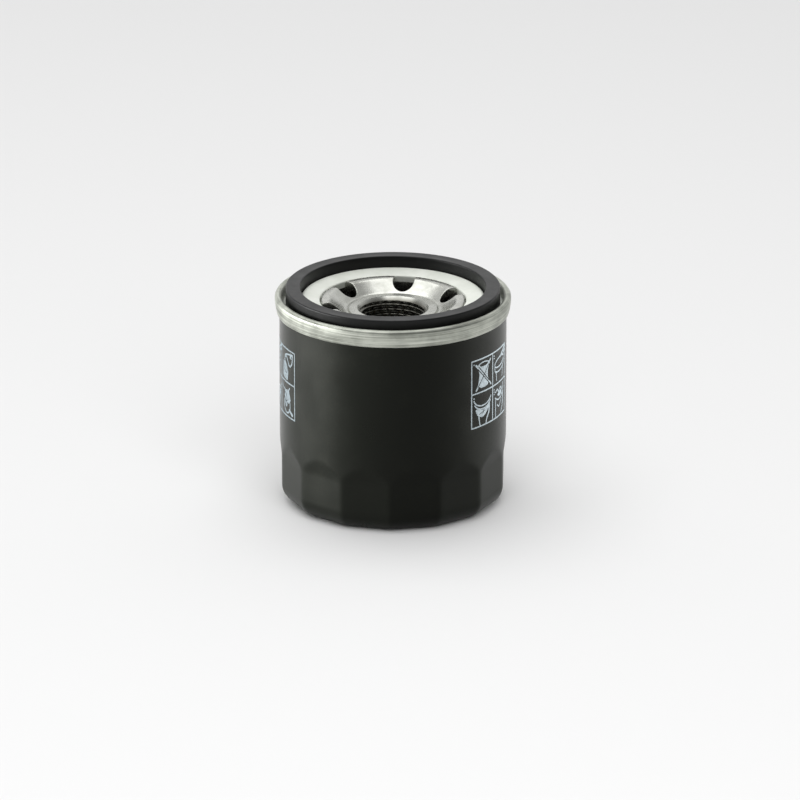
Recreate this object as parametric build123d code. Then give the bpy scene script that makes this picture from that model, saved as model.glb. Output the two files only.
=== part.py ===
"""Spin-on engine oil filter, built from the pieces it is assembled from.

Millimetres, +Z up along the thread's axis. The origin is the centre of the foot ring that the can stands on,
and the front of the object faces -Y. Every radius is measured from the Z axis.
"""

import os
from math import atan2, cos, hypot, pi, sin, tan

from build123d import *

# ---- Can ----
CAN_RADIUS = 33.0
CAN_SHEET = 0.4
BOTTOM_CORNER_RADIUS = 6.0
FOOT_RING_WIDTH = 7.0
PANEL_RECESS = 1.0
PANEL_STEP = 1.5
PANEL_BEND = 0.8
FLAT_COUNT = 14
FLAT_DEPTH = 0.75           # at the middle of a flat, in from the round wall
FLATS_TOP = 15.5
FLATS_RUNOUT = 4.5
RIDGE_ANGLE = -1.4          # from the front, positive towards +X

# ---- Double seam and lid ----
SEAM_TOP = 62.6
SEAM_LENGTH = 5.3
SEAM_GAP = 0.03             # between neighbouring layers of the rolled seam
COVER_HOOK_LENGTH = 3.6
BODY_HOOK_CLEARANCE = 0.25
SEALANT_CLEARANCE = 0.05
LID_SHEET = 0.4
LID_ROLL_BEND = 0.8
CURL_BEND = 0.37
GROOVE_DEPTH = 3.4
GROOVE_BEND = 0.6
SHELF_BEND = 0.8
SHELF_DROP = 0.8
SHELF_WIDTH = 5.6
SHELF_DISH = 1.0             # lower at the inner edge, where it comes down to the plate
SHELF_EDGE_BEND = 0.4

# ---- Gasket ----
GASKET_WIDTH = 4.2
GASKET_PROUD = 2.2
GASKET_EDGE = 0.35
GASKET_OUTER_CLEARANCE = 1.02
GASKET_INNER_CLEARANCE = 0.15

# ---- Tapping plate ----
PLATE_THICKNESS = 2.5
PLATE_EDGE_CLEARANCE = 2.4
SHOULDER_CLEARANCE = 0.1
SHOULDER_HEIGHT = 2.15
SHOULDER_WALL = 2.0
CREST_WIDTH = 2.5
CREST_BEND = 2.0
HUB_DROP = 0.6              # from the flange's top down to the hub's top
HUB_MARGIN = 0.7            # from the neck out to the hub's rim
VALLEY_WIDTH = 1.2
VALLEY_DEPTH = 0.6
UNDERSIDE_RUN = 1.0         # flat run under the shoulder, between its two bends
UNDERSIDE_BEND = 1.0
UNDERSIDE_CORNER = 0.6
THREAD_MINOR_RADIUS = 9.19  # plain bore of an M20 x 1.5 thread
THREAD_LEAD_IN = 1.2
THREAD_LEAD_OUT = 0.5
NECK_WALL = 3.01
NECK_LENGTH = 7.7
LID_FLANGE_GAP = 0.15
INLET_COUNT = 6
INLET_WIDTH = 6.1
INLET_SETBACK = 3.3         # from the shoulder in to the centre of each slot's round end
INLET_ANGLE = 10.0          # first slot, from the back (+Y) towards +X

# ---- Anti-drainback valve ----
SLEEVE_CLEARANCE = 0.1
SLEEVE_WALL = 1.6
SLEEVE_TOP_GAP = 0.6
WEB_THICKNESS = 1.0
WEB_START = 0.8             # above the sleeve's foot
LIP_MARGIN = 2.5            # from the shoulder out to the lip
LIP_WIDTH = 1.4
LIP_THICKNESS = 0.9
LIP_GAP = 0.2

# ---- Filter element ----
CAP_SHEET = 0.4
CAP_RIM_HEIGHT = 3.2
CAP_BEND = 0.5
CAP_ANNULUS = 5.1           # open ring between the end caps and the can
CAP_HOLE_CLEARANCE = 0.4
NECK_ENGAGEMENT = 0.3       # how far the neck reaches into the upper cap
POTTING_HEIGHT = 1.5
POTTING_CLEARANCE = 0.35
PLEAT_COUNT = 42
PLEAT_PAPER = 0.6
PLEAT_TUBE_CLEARANCE = 0.7
PLEAT_RIM_CLEARANCE = 0.8
CLIP_SHEET = 0.3
CLIP_DEPTH = 4.0
CLIP_CLEARANCE = 0.08
TUBE_CLEARANCE = 0.8
TUBE_SHEET = 0.4
TUBE_HOLE_RADIUS = 1.8
TUBE_HOLES_AROUND = 10
TUBE_HOLE_PITCH = 6.0

# ---- Bypass valve ----
SEAT_THICKNESS = 0.8
SEAT_HOLE_RADIUS = 5.5
SEAT_LIP_HEIGHT = 0.4
SEAT_LIP_WIDTH = 1.1
SEAT_TUBE_CLEARANCE = 0.1
SEAL_THICKNESS = 1.05
SEAL_REST_GAP = 0.05
SEAL_HOLE_CLEARANCE = 0.05
PLUNGER_RADIUS = 7.6
PLUNGER_SHEET = 0.8
PLUNGER_BOSS_RADIUS = 4.0
STEM_RADIUS = 1.5
STEM_CLEARANCE = 0.09
STEM_PROUD = 0.8
CAGE_SHEET = 0.6
CAGE_HEIGHT = 17.0
CAGE_RADIUS = 9.9
CAGE_BEND = 0.7
CAGE_WINDOWS = 4
CAGE_WINDOW_WIDTH = 7.0
CAGE_WINDOW_MARGIN = 3.4
SPRING_WIRE = 0.9
SPRING_RADIUS = 6.2
SPRING_TURNS = 6
SPRING_END_CLEARANCE = 0.02

# ---- Leaf spring under the element ----
LEAF_HEIGHT = 6.0
LEAF_SHEET = 0.6
LEAF_RING_WIDTH = 5.0
LEAF_LEGS = 4
LEAF_LEG_WIDTH = 6.0
LEAF_LEG_ROOT = 1.0
LEAF_LEG_REACH = 2.8
LEAF_LEG_BEND = 1.0
LEAF_FOOT_LENGTH = 2.0
LEAF_FOOT_CLEARANCE = 0.7   # from the foot's end to where the can's corner begins

# ---- Radii and heights that follow ----
seam_pitch = CAN_SHEET + SEAM_GAP
body_wall = CAN_RADIUS - CAN_SHEET / 2                 # centre lines of the five layers of the seam
chuck_wall = body_wall - seam_pitch
cover_hook = body_wall + seam_pitch
body_hook = cover_hook + seam_pitch
seaming_wall = body_hook + seam_pitch
seam_bottom = SEAM_TOP - SEAM_LENGTH
can_roll = SEAM_TOP - LID_SHEET - SEAM_GAP - CAN_SHEET / 2
cover_hook_tip = seam_bottom + COVER_HOOK_LENGTH
can_floor = CAN_SHEET
floor_edge = CAN_RADIUS - BOTTOM_CORNER_RADIUS
panel_edge = floor_edge - FOOT_RING_WIDTH
flat_apothem = CAN_RADIUS - FLAT_DEPTH

groove_floor = SEAM_TOP - GROOVE_DEPTH
shelf_top = SEAM_TOP - SHELF_DROP
gasket_outer = chuck_wall - LID_SHEET / 2 - GASKET_OUTER_CLEARANCE
gasket_inner = gasket_outer - GASKET_WIDTH
shelf_outer = gasket_inner - GASKET_INNER_CLEARANCE
shelf_inner = shelf_outer - SHELF_WIDTH

flange_top = groove_floor - LID_SHEET
flange_bottom = flange_top - PLATE_THICKNESS
plate_outer = chuck_wall - LID_SHEET / 2 - PLATE_EDGE_CLEARANCE
shoulder_radius = shelf_inner - SHOULDER_CLEARANCE
hub_top = flange_top - HUB_DROP
valley = hub_top - VALLEY_DEPTH
neck_radius = THREAD_MINOR_RADIUS + NECK_WALL
hub_radius = neck_radius + HUB_MARGIN
neck_bottom = hub_top - NECK_LENGTH

cap_rim = CAN_RADIUS - CAN_SHEET - CAP_ANNULUS
cap_hole = neck_radius + CAP_HOLE_CLEARANCE
upper_cap_top = neck_bottom + NECK_ENGAGEMENT
upper_cap_bottom = upper_cap_top - CAP_SHEET
lower_cap_bottom = can_floor + LEAF_HEIGHT
lower_cap_top = lower_cap_bottom + CAP_SHEET
potting_outer = cap_rim - CAP_SHEET - POTTING_CLEARANCE
media_bottom = lower_cap_top + POTTING_HEIGHT
media_top = upper_cap_bottom - POTTING_HEIGHT
tube_inner = neck_radius + TUBE_CLEARANCE
tube_outer = tube_inner + TUBE_SHEET
pleat_inner = tube_outer + PLEAT_TUBE_CLEARANCE + PLEAT_PAPER / 2
pleat_outer = cap_rim - CAP_SHEET - PLEAT_RIM_CLEARANCE - PLEAT_PAPER / 2

sleeve_inner = neck_radius + SLEEVE_CLEARANCE
sleeve_outer = sleeve_inner + SLEEVE_WALL
sleeve_top = valley - PLATE_THICKNESS - SLEEVE_TOP_GAP
lip_top = flange_bottom - LIP_GAP
lip_inner = shoulder_radius + LIP_MARGIN

seat_radius = tube_inner - SEAT_TUBE_CLEARANCE
seat_top = lower_cap_top + SEAT_THICKNESS
seat_lip_top = seat_top + SEAT_LIP_HEIGHT
seal_bottom = seat_lip_top + SEAL_REST_GAP
plunger_bottom = seal_bottom + SEAL_THICKNESS
plunger_top = plunger_bottom + PLUNGER_SHEET
cage_top = seat_top + CAGE_HEIGHT
cage_ceiling = cage_top - CAGE_SHEET


# ---- Shapes that several pieces share ----
def section(corners, bends) -> Face:
    """Closed section in the XZ plane, with a bend radius at each (radius, height) corner."""
    points = [Vector(radius, 0, height) for radius, height in corners]
    return make_face(FilletPolyline(*points, radius=bends, close=True).edges()).face()


def sheet_section(centre_line, bends, sheet) -> Face:
    """Section of a bent sheet in the XZ plane, from its centre line's corners and bend radii."""
    steps = [(b[0] - a[0], b[1] - a[1]) for a, b in zip(centre_line, centre_line[1:])]
    normals = [(-dz / hypot(dr, dz), dr / hypot(dr, dz)) for dr, dz in steps]
    sides = []
    for side in (sheet / 2, -sheet / 2):
        points, radii = [], []
        for index, (radius, height) in enumerate(centre_line):
            before = normals[max(index - 1, 0)]
            after = normals[min(index, len(normals) - 1)]
            spread = side / (1 + before[0] * after[0] + before[1] * after[1])
            points.append(
                Vector(radius + spread * (before[0] + after[0]), 0, height + spread * (before[1] + after[1]))
            )
            turn = before[0] * after[1] - before[1] * after[0]
            if 0 < index < len(centre_line) - 1:
                radii.append(bends[index - 1] - (side if turn > 0 else -side))
        sides.append((points, radii))
    (left, left_radii), (right, right_radii) = sides
    outline = [
        FilletPolyline(*left, radius=left_radii) if left_radii else Line(*left),
        Line(left[-1], right[-1]),
        FilletPolyline(*right, radius=right_radii) if right_radii else Line(*right),
        Line(right[0], left[0]),
    ]
    return make_face([edge for line in outline for edge in line.edges()]).face()


def turned(face: Face) -> Part:
    """Solid of revolution about the Z axis."""
    return revolve(face, Axis.Z)


def ring(inner, outer, bottom, top, edge=0.0) -> Part:
    """Plain ring, with all four edges rounded by the same radius."""
    return turned(section([(inner, bottom), (outer, bottom), (outer, top), (inner, top)], [edge] * 4))


def upright(radius, bottom, top) -> Part:
    """Solid cylinder on the Z axis."""
    return Pos(0, 0, bottom) * Cylinder(radius, top - bottom, align=(Align.CENTER, Align.CENTER, Align.MIN))


def around(shape, count, first=0.0) -> list:
    """Copies of a shape spaced evenly about the Z axis."""
    return [Rot(0, 0, first + 360 * index / count) * shape for index in range(count)]


# ---- Can ----
def flat_cutters(apothem) -> list:
    """What lies outside the wrench flats, which fade into the round wall at their tops."""
    reach = CAN_RADIUS + 5
    runout_slope = FLATS_RUNOUT / FLAT_DEPTH
    corners = [
        (apothem, -1),
        (apothem, FLATS_TOP),
        (reach, FLATS_TOP + runout_slope * (reach - apothem)),
        (reach, -1),
    ]
    half_width = CAN_RADIUS * sin(pi / FLAT_COUNT) * 1.15
    cutter = extrude(section(corners, [0] * 4), half_width, both=True)
    first_flat = RIDGE_ANGLE - 90 + 180 / FLAT_COUNT
    return around(cutter, FLAT_COUNT, first_flat)


def can_body(inset) -> Part:
    """The can filled solid and moved in by the given sheet thickness, up to the foot of the seam."""
    top = seam_bottom + 2 * inset
    radius = CAN_RADIUS - inset
    corners = [
        (0, PANEL_RECESS + inset),
        (panel_edge - PANEL_STEP - inset / 2, PANEL_RECESS + inset),
        (panel_edge - inset / 2, inset),
        (radius, inset),
        (radius, top),
        (0, top),
    ]
    body = turned(section(corners, [0, PANEL_BEND, PANEL_BEND, BOTTOM_CORNER_RADIUS - inset, 0, 0]))
    return body - flat_cutters(flat_apothem - inset)


def can_shell() -> Part:
    """Deep-drawn can with wrench flats and the hook that the lid is rolled over."""
    hook_line = [
        (body_wall, seam_bottom),
        (body_wall, can_roll),
        (body_hook, can_roll),
        (body_hook, seam_bottom + LID_SHEET + BODY_HOOK_CLEARANCE),
    ]
    hook = turned(sheet_section(hook_line, [CURL_BEND, CURL_BEND], CAN_SHEET))
    return can_body(0) - can_body(CAN_SHEET) + hook


# ---- Lid, sealant and gasket ----
def seaming_lid() -> Part:
    """Lid from its hook inside the seam, over the roll, through the gasket groove to the inner flange."""
    centre_line = [
        (cover_hook, cover_hook_tip),
        (cover_hook, seam_bottom + LID_SHEET / 2),
        (seaming_wall, seam_bottom + LID_SHEET / 2),
        (seaming_wall, SEAM_TOP - LID_SHEET / 2),
        (chuck_wall, SEAM_TOP - LID_SHEET / 2),
        (chuck_wall, groove_floor - LID_SHEET / 2),
        (shelf_outer - LID_SHEET / 2, groove_floor - LID_SHEET / 2),
        (shelf_outer - LID_SHEET / 2, shelf_top - LID_SHEET / 2),
        (shelf_inner + LID_SHEET / 2, shelf_top - SHELF_DISH - LID_SHEET / 2),
        (shelf_inner + LID_SHEET / 2, flange_top + LID_FLANGE_GAP),
    ]
    bends = [
        CURL_BEND,
        CURL_BEND,
        LID_ROLL_BEND,
        LID_ROLL_BEND,
        GROOVE_BEND,
        GROOVE_BEND,
        SHELF_BEND,
        SHELF_EDGE_BEND,
    ]
    return turned(sheet_section(centre_line, bends, LID_SHEET))


def seam_sealant() -> Part:
    """Bead of compound between the tip of the lid's hook and the can's roll."""
    top = can_roll - CAN_SHEET / 2 - CURL_BEND + CAN_SHEET / 2
    half = LID_SHEET / 2
    return ring(cover_hook - half, cover_hook + half, cover_hook_tip + SEALANT_CLEARANCE, top)


def gasket() -> Part:
    """Square-cut rubber gasket that stands on the groove's floor."""
    return ring(gasket_inner, gasket_outer, groove_floor, SEAM_TOP + GASKET_PROUD, GASKET_EDGE)


# ---- Tapping plate ----
def tapping_plate() -> Part:
    """Stamped plate with a raised shoulder, a dished middle, a threaded neck and open inlet slots."""
    shoulder_top = flange_top + SHOULDER_HEIGHT
    crest_inner = shoulder_radius - CREST_WIDTH
    valley_outer = hub_radius + VALLEY_WIDTH
    shoulder_inner = shoulder_radius - SHOULDER_WALL
    run_inner = shoulder_inner - UNDERSIDE_RUN
    slope = atan2(shoulder_top - valley, run_inner - (valley_outer - 0.1))
    longest_bend = (UNDERSIDE_RUN - UNDERSIDE_CORNER - 0.04) / tan(slope / 2)
    corners_and_bends = [
        ((plate_outer, flange_top), 0.4),
        ((shoulder_radius, flange_top), 0.3),
        ((shoulder_radius, shoulder_top), 1.6),
        ((crest_inner, shoulder_top), CREST_BEND),
        ((valley_outer, valley), 1.5),
        ((hub_radius + 0.3, valley), 0.2),
        ((hub_radius, hub_top), 0.35),
        ((THREAD_MINOR_RADIUS + THREAD_LEAD_IN, hub_top), 0),
        ((THREAD_MINOR_RADIUS, hub_top - THREAD_LEAD_IN), 0),
        ((THREAD_MINOR_RADIUS, neck_bottom + THREAD_LEAD_OUT), 0),
        ((THREAD_MINOR_RADIUS + THREAD_LEAD_OUT, neck_bottom), 0),
        ((neck_radius, neck_bottom), 0.3),
        ((neck_radius, valley - PLATE_THICKNESS), 0.5),
        ((valley_outer - 0.1, valley - PLATE_THICKNESS), 1.2),
        ((run_inner, shoulder_top - PLATE_THICKNESS), min(UNDERSIDE_BEND, longest_bend)),
        ((shoulder_inner, shoulder_top - PLATE_THICKNESS), UNDERSIDE_CORNER),
        ((shoulder_inner, flange_bottom), UNDERSIDE_CORNER),
        ((plate_outer, flange_bottom), 0.4),
    ]
    corners, bends = zip(*corners_and_bends)
    plate = turned(section(corners, bends))
    return plate - around(inlet_cutter(), INLET_COUNT, -INLET_ANGLE)


def inlet_cutter() -> Part:
    """One inlet slot at the back: round towards the hub, open towards the lid's inner flange."""
    centre = shoulder_radius - INLET_SETBACK
    bottom = flange_bottom - PLATE_THICKNESS
    depth = SEAM_TOP - bottom
    round_end = Pos(0, centre, bottom) * Cylinder(
        INLET_WIDTH / 2, depth, align=(Align.CENTER, Align.CENTER, Align.MIN)
    )
    straight = Pos(0, centre, bottom) * Box(
        INLET_WIDTH, 2 * INLET_SETBACK, depth, align=(Align.CENTER, Align.MIN, Align.MIN)
    )
    return (round_end + straight) & upright(shelf_inner, bottom, SEAM_TOP)


# ---- Anti-drainback valve ----
def drainback_valve_sleeve() -> Part:
    """Collar of the rubber valve, round the neck and standing on the upper end cap."""
    return ring(sleeve_inner, sleeve_outer, upper_cap_top, sleeve_top, 0.2)


def drainback_valve_web() -> Part:
    """Thin cone of the rubber valve, between its collar and its lip."""
    bottom = upper_cap_top + WEB_START
    lip_bottom = lip_top - LIP_THICKNESS
    corners = [
        (sleeve_outer, bottom),
        (lip_inner, lip_bottom),
        (lip_inner, lip_top),
        (sleeve_outer, bottom + WEB_THICKNESS),
    ]
    return turned(section(corners, [0] * 4))


def drainback_valve_lip() -> Part:
    """Sealing lip of the rubber valve, under the plate's flange."""
    return ring(lip_inner, lip_inner + LIP_WIDTH, lip_top - LIP_THICKNESS, lip_top)


# ---- Filter element ----
def end_cap(inner, flat, rim_end) -> Part:
    """Pressed end cap: a flat ring at one height with its outer edge turned towards the other."""
    rim = cap_rim - CAP_SHEET / 2
    return turned(sheet_section([(inner, flat), (rim, flat), (rim, rim_end)], [CAP_BEND], CAP_SHEET))


def potting(bottom) -> Part:
    """Layer of compound that holds the paper in its end cap."""
    return ring(tube_outer + 0.05, potting_outer, bottom, bottom + POTTING_HEIGHT)


def fold_corners(offset) -> list:
    """Corners of the pleated paper's outline, the given distance outside its centre line."""
    corners = []
    pitch = 2 * pi / PLEAT_COUNT
    for pleat in range(PLEAT_COUNT):
        middle = pitch * pleat
        outer_half = pleat_outer * sin(pitch / 4) + offset
        inner_half = pleat_inner * sin(pitch / 4) - offset
        for shift, radius, half, side in (
            (0.0, pleat_outer + offset, outer_half, -1),
            (0.0, pleat_outer + offset, outer_half, 1),
            (0.5, pleat_inner + offset, inner_half, -1),
            (0.5, pleat_inner + offset, inner_half, 1),
        ):
            angle = middle + shift * pitch
            across = side * half
            corners.append(
                (radius * cos(angle) - across * sin(angle), radius * sin(angle) + across * cos(angle))
            )
    return corners


def filter_media() -> Part:
    """Pleated paper, folded out and back round the centre tube."""
    outlines = [
        make_face(Polyline(*fold_corners(offset), close=True).edges()).face()
        for offset in (PLEAT_PAPER / 2, -PLEAT_PAPER / 2)
    ]
    height = media_top - media_bottom
    return Pos(0, 0, media_bottom) * (extrude(outlines[0], height) - extrude(outlines[1], height))


def media_seam_clip() -> Part:
    """Folded steel strip that joins the two ends of the paper over one pleat."""
    back = pleat_outer + PLEAT_PAPER / 2 + CLIP_CLEARANCE
    half = pleat_outer * sin(pi / (2 * PLEAT_COUNT)) + PLEAT_PAPER / 2 + CLIP_CLEARANCE
    outer_half = half + CLIP_SHEET
    outline = Polyline(
        (back - CLIP_DEPTH, half),
        (back, half),
        (back, -half),
        (back - CLIP_DEPTH, -half),
        (back - CLIP_DEPTH, -outer_half),
        (back + CLIP_SHEET, -outer_half),
        (back + CLIP_SHEET, outer_half),
        (back - CLIP_DEPTH, outer_half),
        close=True,
    )
    clip = extrude(make_face(outline.edges()).face(), media_top - media_bottom)
    return Pos(0, 0, media_bottom) * clip


def centre_tube() -> Part:
    """Perforated tube that carries the pleats and leads clean oil to the neck."""
    tube = ring(tube_inner, tube_outer, lower_cap_top, upper_cap_bottom)
    length = upper_cap_bottom - lower_cap_top
    rows = int((length - 2 * TUBE_HOLE_PITCH) // TUBE_HOLE_PITCH) + 1
    first = (lower_cap_top + upper_cap_bottom - (rows - 1) * TUBE_HOLE_PITCH) / 2
    drill = Rot(0, 90, 0) * Cylinder(
        TUBE_HOLE_RADIUS, 2 * tube_outer, align=(Align.CENTER, Align.CENTER, Align.MIN)
    )
    step = 360 / TUBE_HOLES_AROUND
    for row in range(rows):
        tube -= [
            Pos(0, 0, first + row * TUBE_HOLE_PITCH) * copy
            for copy in around(drill, TUBE_HOLES_AROUND, step / 2 * (row % 2))
        ]
    return tube


# ---- Bypass valve ----
def bypass_valve_seat() -> Part:
    """Plate at the foot of the centre tube, with a raised lip round its port."""
    port = SEAT_HOLE_RADIUS
    corners = [
        (port, lower_cap_top),
        (seat_radius, lower_cap_top),
        (seat_radius, seat_top),
        (port + SEAT_LIP_WIDTH + SEAT_LIP_HEIGHT, seat_top),
        (port + SEAT_LIP_WIDTH, seat_lip_top),
        (port, seat_lip_top),
    ]
    return turned(section(corners, [0] * 6))


def bypass_valve_seal() -> Part:
    """Rubber ring carried under the plunger, closed on the seat's lip."""
    inner = PLUNGER_BOSS_RADIUS + SEAL_HOLE_CLEARANCE
    return ring(inner, PLUNGER_RADIUS - 0.2, seal_bottom, plunger_bottom)


def bypass_valve_plunger() -> Part:
    """Disc with a boss through the seal and a stem through the top of the cage."""
    boss_bottom = seal_bottom + 0.1
    stem_top = cage_top + STEM_PROUD
    corners_and_bends = [
        ((0, boss_bottom), 0),
        ((PLUNGER_BOSS_RADIUS, boss_bottom), 0.2),
        ((PLUNGER_BOSS_RADIUS, plunger_bottom), 0),
        ((PLUNGER_RADIUS, plunger_bottom), 0.2),
        ((PLUNGER_RADIUS, plunger_top), 0.2),
        ((STEM_RADIUS, plunger_top), 0.3),
        ((STEM_RADIUS, stem_top), 0.3),
        ((0, stem_top), 0),
    ]
    corners, bends = zip(*corners_and_bends)
    return turned(section(corners, bends))


def bypass_valve_cage() -> Part:
    """Pressed cup over the valve, with windows in its wall and a guide hole for the stem."""
    half = CAGE_SHEET / 2
    centre_line = [
        (seat_radius, seat_top + half),
        (CAGE_RADIUS - half, seat_top + half),
        (CAGE_RADIUS - half, cage_top - half),
        (STEM_RADIUS + STEM_CLEARANCE, cage_top - half),
    ]
    cage = turned(sheet_section(centre_line, [CAGE_BEND, CAGE_BEND], CAGE_SHEET))
    window_height = CAGE_HEIGHT - 2 * CAGE_WINDOW_MARGIN
    window = Pos(0, 0, seat_top + CAGE_WINDOW_MARGIN) * Box(
        2 * CAGE_RADIUS, CAGE_WINDOW_WIDTH, window_height, align=(Align.MIN, Align.CENTER, Align.MIN)
    )
    return cage - around(window, CAGE_WINDOWS)


def bypass_valve_spring() -> Part:
    """Round-wire compression spring between the plunger and the top of the cage."""
    bottom = plunger_top + SPRING_WIRE / 2 + SPRING_END_CLEARANCE
    height = cage_ceiling - SPRING_WIRE / 2 - SPRING_END_CLEARANCE - bottom
    path = Helix(height / SPRING_TURNS, height, SPRING_RADIUS)
    wire = Plane(origin=path @ 0, z_dir=path % 0) * Circle(SPRING_WIRE / 2)
    return Pos(0, 0, bottom) * sweep(wire, path, is_frenet=True)


# ---- Leaf spring under the element ----
def element_spring() -> Part:
    """Ring with bent legs that presses the element up against the drainback valve."""
    half = LEAF_SHEET / 2
    foot_end = floor_edge - LEAF_FOOT_CLEARANCE
    foot = foot_end - LEAF_FOOT_LENGTH
    root = foot - LEAF_LEG_REACH
    outer = root - LEAF_LEG_ROOT
    inner = outer - LEAF_RING_WIDTH
    leg_line = [
        ((inner + outer) / 2, lower_cap_bottom - half),
        (root, lower_cap_bottom - half),
        (foot, can_floor + half),
        (foot_end, can_floor + half),
    ]
    bends = [LEAF_LEG_BEND, LEAF_LEG_BEND]
    leg = extrude(sheet_section(leg_line, bends, LEAF_SHEET), LEAF_LEG_WIDTH / 2, both=True)
    spring = ring(inner, outer, lower_cap_bottom - LEAF_SHEET, lower_cap_bottom)
    for copy in around(leg, LEAF_LEGS, 45):
        spring += copy
    return spring


PIECES = {
    "can_shell": can_shell,
    "seaming_lid": seaming_lid,
    "seam_sealant": seam_sealant,
    "tapping_plate": tapping_plate,
    "gasket": gasket,
    "drainback_valve_sleeve": drainback_valve_sleeve,
    "drainback_valve_web": drainback_valve_web,
    "drainback_valve_lip": drainback_valve_lip,
    "upper_end_cap": lambda: end_cap(
        cap_hole, upper_cap_top - CAP_SHEET / 2, upper_cap_top - CAP_RIM_HEIGHT
    ),
    "upper_potting": lambda: potting(media_top),
    "filter_media": filter_media,
    "media_seam_clip": media_seam_clip,
    "centre_tube": centre_tube,
    "lower_potting": lambda: potting(lower_cap_top),
    "lower_end_cap": lambda: end_cap(
        SEAT_HOLE_RADIUS + 3.0, lower_cap_top - CAP_SHEET / 2, lower_cap_bottom + CAP_RIM_HEIGHT
    ),
    "bypass_valve_seat": bypass_valve_seat,
    "bypass_valve_seal": bypass_valve_seal,
    "bypass_valve_plunger": bypass_valve_plunger,
    "bypass_valve_spring": bypass_valve_spring,
    "bypass_valve_cage": bypass_valve_cage,
    "element_spring": element_spring,
}

os.makedirs("parts", exist_ok=True)
for name, build in PIECES.items():
    export_step(build(), f"parts/{name}.step")
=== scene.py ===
"""Looks of a spin-on oil filter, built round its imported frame.

Shapes are worked out in millimetres and put into meshes in metres. +Z runs up the thread's axis, the front
faces -Y, and every radius is measured from the Z axis. Each sub-assembly is a class that makes its pieces.
"""

from __future__ import annotations

import logging
from dataclasses import dataclass, field
from enum import Enum
from math import acos, ceil, cos, pi, radians, sin, tan
from typing import Sequence

import bmesh
import bpy
import numpy as np
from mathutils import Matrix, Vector

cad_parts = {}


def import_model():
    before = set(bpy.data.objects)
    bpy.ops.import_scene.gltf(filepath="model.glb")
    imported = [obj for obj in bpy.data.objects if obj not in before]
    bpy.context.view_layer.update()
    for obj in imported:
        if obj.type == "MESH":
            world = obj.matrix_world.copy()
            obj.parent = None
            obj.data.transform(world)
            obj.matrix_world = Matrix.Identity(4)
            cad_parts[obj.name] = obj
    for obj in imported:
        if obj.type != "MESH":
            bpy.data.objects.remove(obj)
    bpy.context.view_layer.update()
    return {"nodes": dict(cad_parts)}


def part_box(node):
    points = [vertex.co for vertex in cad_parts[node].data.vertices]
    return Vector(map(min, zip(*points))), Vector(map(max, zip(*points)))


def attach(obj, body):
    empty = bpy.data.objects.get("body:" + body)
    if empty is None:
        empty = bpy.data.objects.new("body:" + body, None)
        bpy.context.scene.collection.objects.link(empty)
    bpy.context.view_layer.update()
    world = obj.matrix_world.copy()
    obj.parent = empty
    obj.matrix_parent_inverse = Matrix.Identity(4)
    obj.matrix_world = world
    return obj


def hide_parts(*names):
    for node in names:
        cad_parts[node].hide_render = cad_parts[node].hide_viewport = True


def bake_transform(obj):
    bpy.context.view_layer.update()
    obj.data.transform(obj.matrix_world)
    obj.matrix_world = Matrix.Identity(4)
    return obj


Array = np.ndarray
Point = tuple[float, float]
Triple = tuple[float, float, float]
LOG = logging.getLogger("oil_filter")
MM = 0.001
WELD = 2e-7


class Body(Enum):
    """The rigid bodies of the frame."""

    HOUSING = "housing"
    PLUNGER = "bypass_plunger"
    LIP = "drainback_lip"


# ---------------------------------------------------------------- curves


def smoothstep(value: Array | float, start: float, end: float) -> Array:
    """Rises from 0 at start to 1 at end as 3 t^2 - 2 t^3."""
    share = np.clip((np.asarray(value, float) - start) / (end - start), 0.0, 1.0)
    return share * share * (3.0 - 2.0 * share)


def soft_min(first: Array, second: Array, softness: Array | float) -> Array:
    """Smaller of two values, with the crease rounded: half of a + b - sqrt((a - b)^2 + softness^2)."""
    return 0.5 * (first + second - np.sqrt((first - second) ** 2 + softness**2))


def divided(path: Array, spacing: float) -> Array:
    """Cuts each run of a path into equal steps no longer than the spacing.

    Args:
        path: The path's points, one a row.
        spacing: The longest step.

    Returns:
        The path's own points with the new ones between them.
    """
    runs = np.diff(path, axis=0)
    counts = np.maximum(np.ceil(np.linalg.norm(runs, axis=1) / spacing).astype(int), 1)
    start = np.repeat(np.arange(len(runs)), counts)
    step = np.arange(counts.sum()) - np.repeat(np.cumsum(counts) - counts, counts)
    points = path[start] + (step / counts[start])[:, None] * runs[start]
    return np.vstack([points, path[-1:]])


def rounded(corners: Sequence[Point], bends: Sequence[float], spacing: float, closed: bool = False) -> Array:
    """Path with an arc at each corner that touches both of the corner's runs.

    The arc starts radius / tan(half the corner's angle) from the corner, and its points turn evenly about a
    centre that lies radius / sin(half the angle) away on the corner's middle line.

    Args:
        corners: The path's corners.
        bends: A bend radius for each corner, 0 for a sharp one. An open path's ends are never bent.
        spacing: The longest step between points.
        closed: Whether the path comes back to its first corner, which is then repeated at its end.

    Returns:
        The path's points, one a row.
    """
    points = np.asarray(corners, float)
    count = len(points)
    pieces = []
    for index, (here, radius) in enumerate(zip(points, bends)):
        if radius <= 0 or (not closed and index in (0, count - 1)):
            pieces.append(here[None])
            continue
        back, ahead = points[index - 1] - here, points[(index + 1) % count] - here
        back, ahead = back / np.linalg.norm(back), ahead / np.linalg.norm(ahead)
        half = acos(float(np.clip(back @ ahead, -1, 1))) / 2
        middle = (back + ahead) / np.linalg.norm(back + ahead)
        centre = here + middle * radius / sin(half)
        turn = pi - 2 * half
        share = np.linspace(0, 1, max(4, ceil(turn * radius / spacing) + 1))[:, None]
        start = here + back * radius / tan(half) - centre
        end = here + ahead * radius / tan(half) - centre
        pieces.append(centre + (np.sin((1 - share) * turn) * start + np.sin(share * turn) * end) / sin(turn))
    if closed:
        pieces.append(pieces[0][:1])
    return divided(np.vstack(pieces), spacing)


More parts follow.
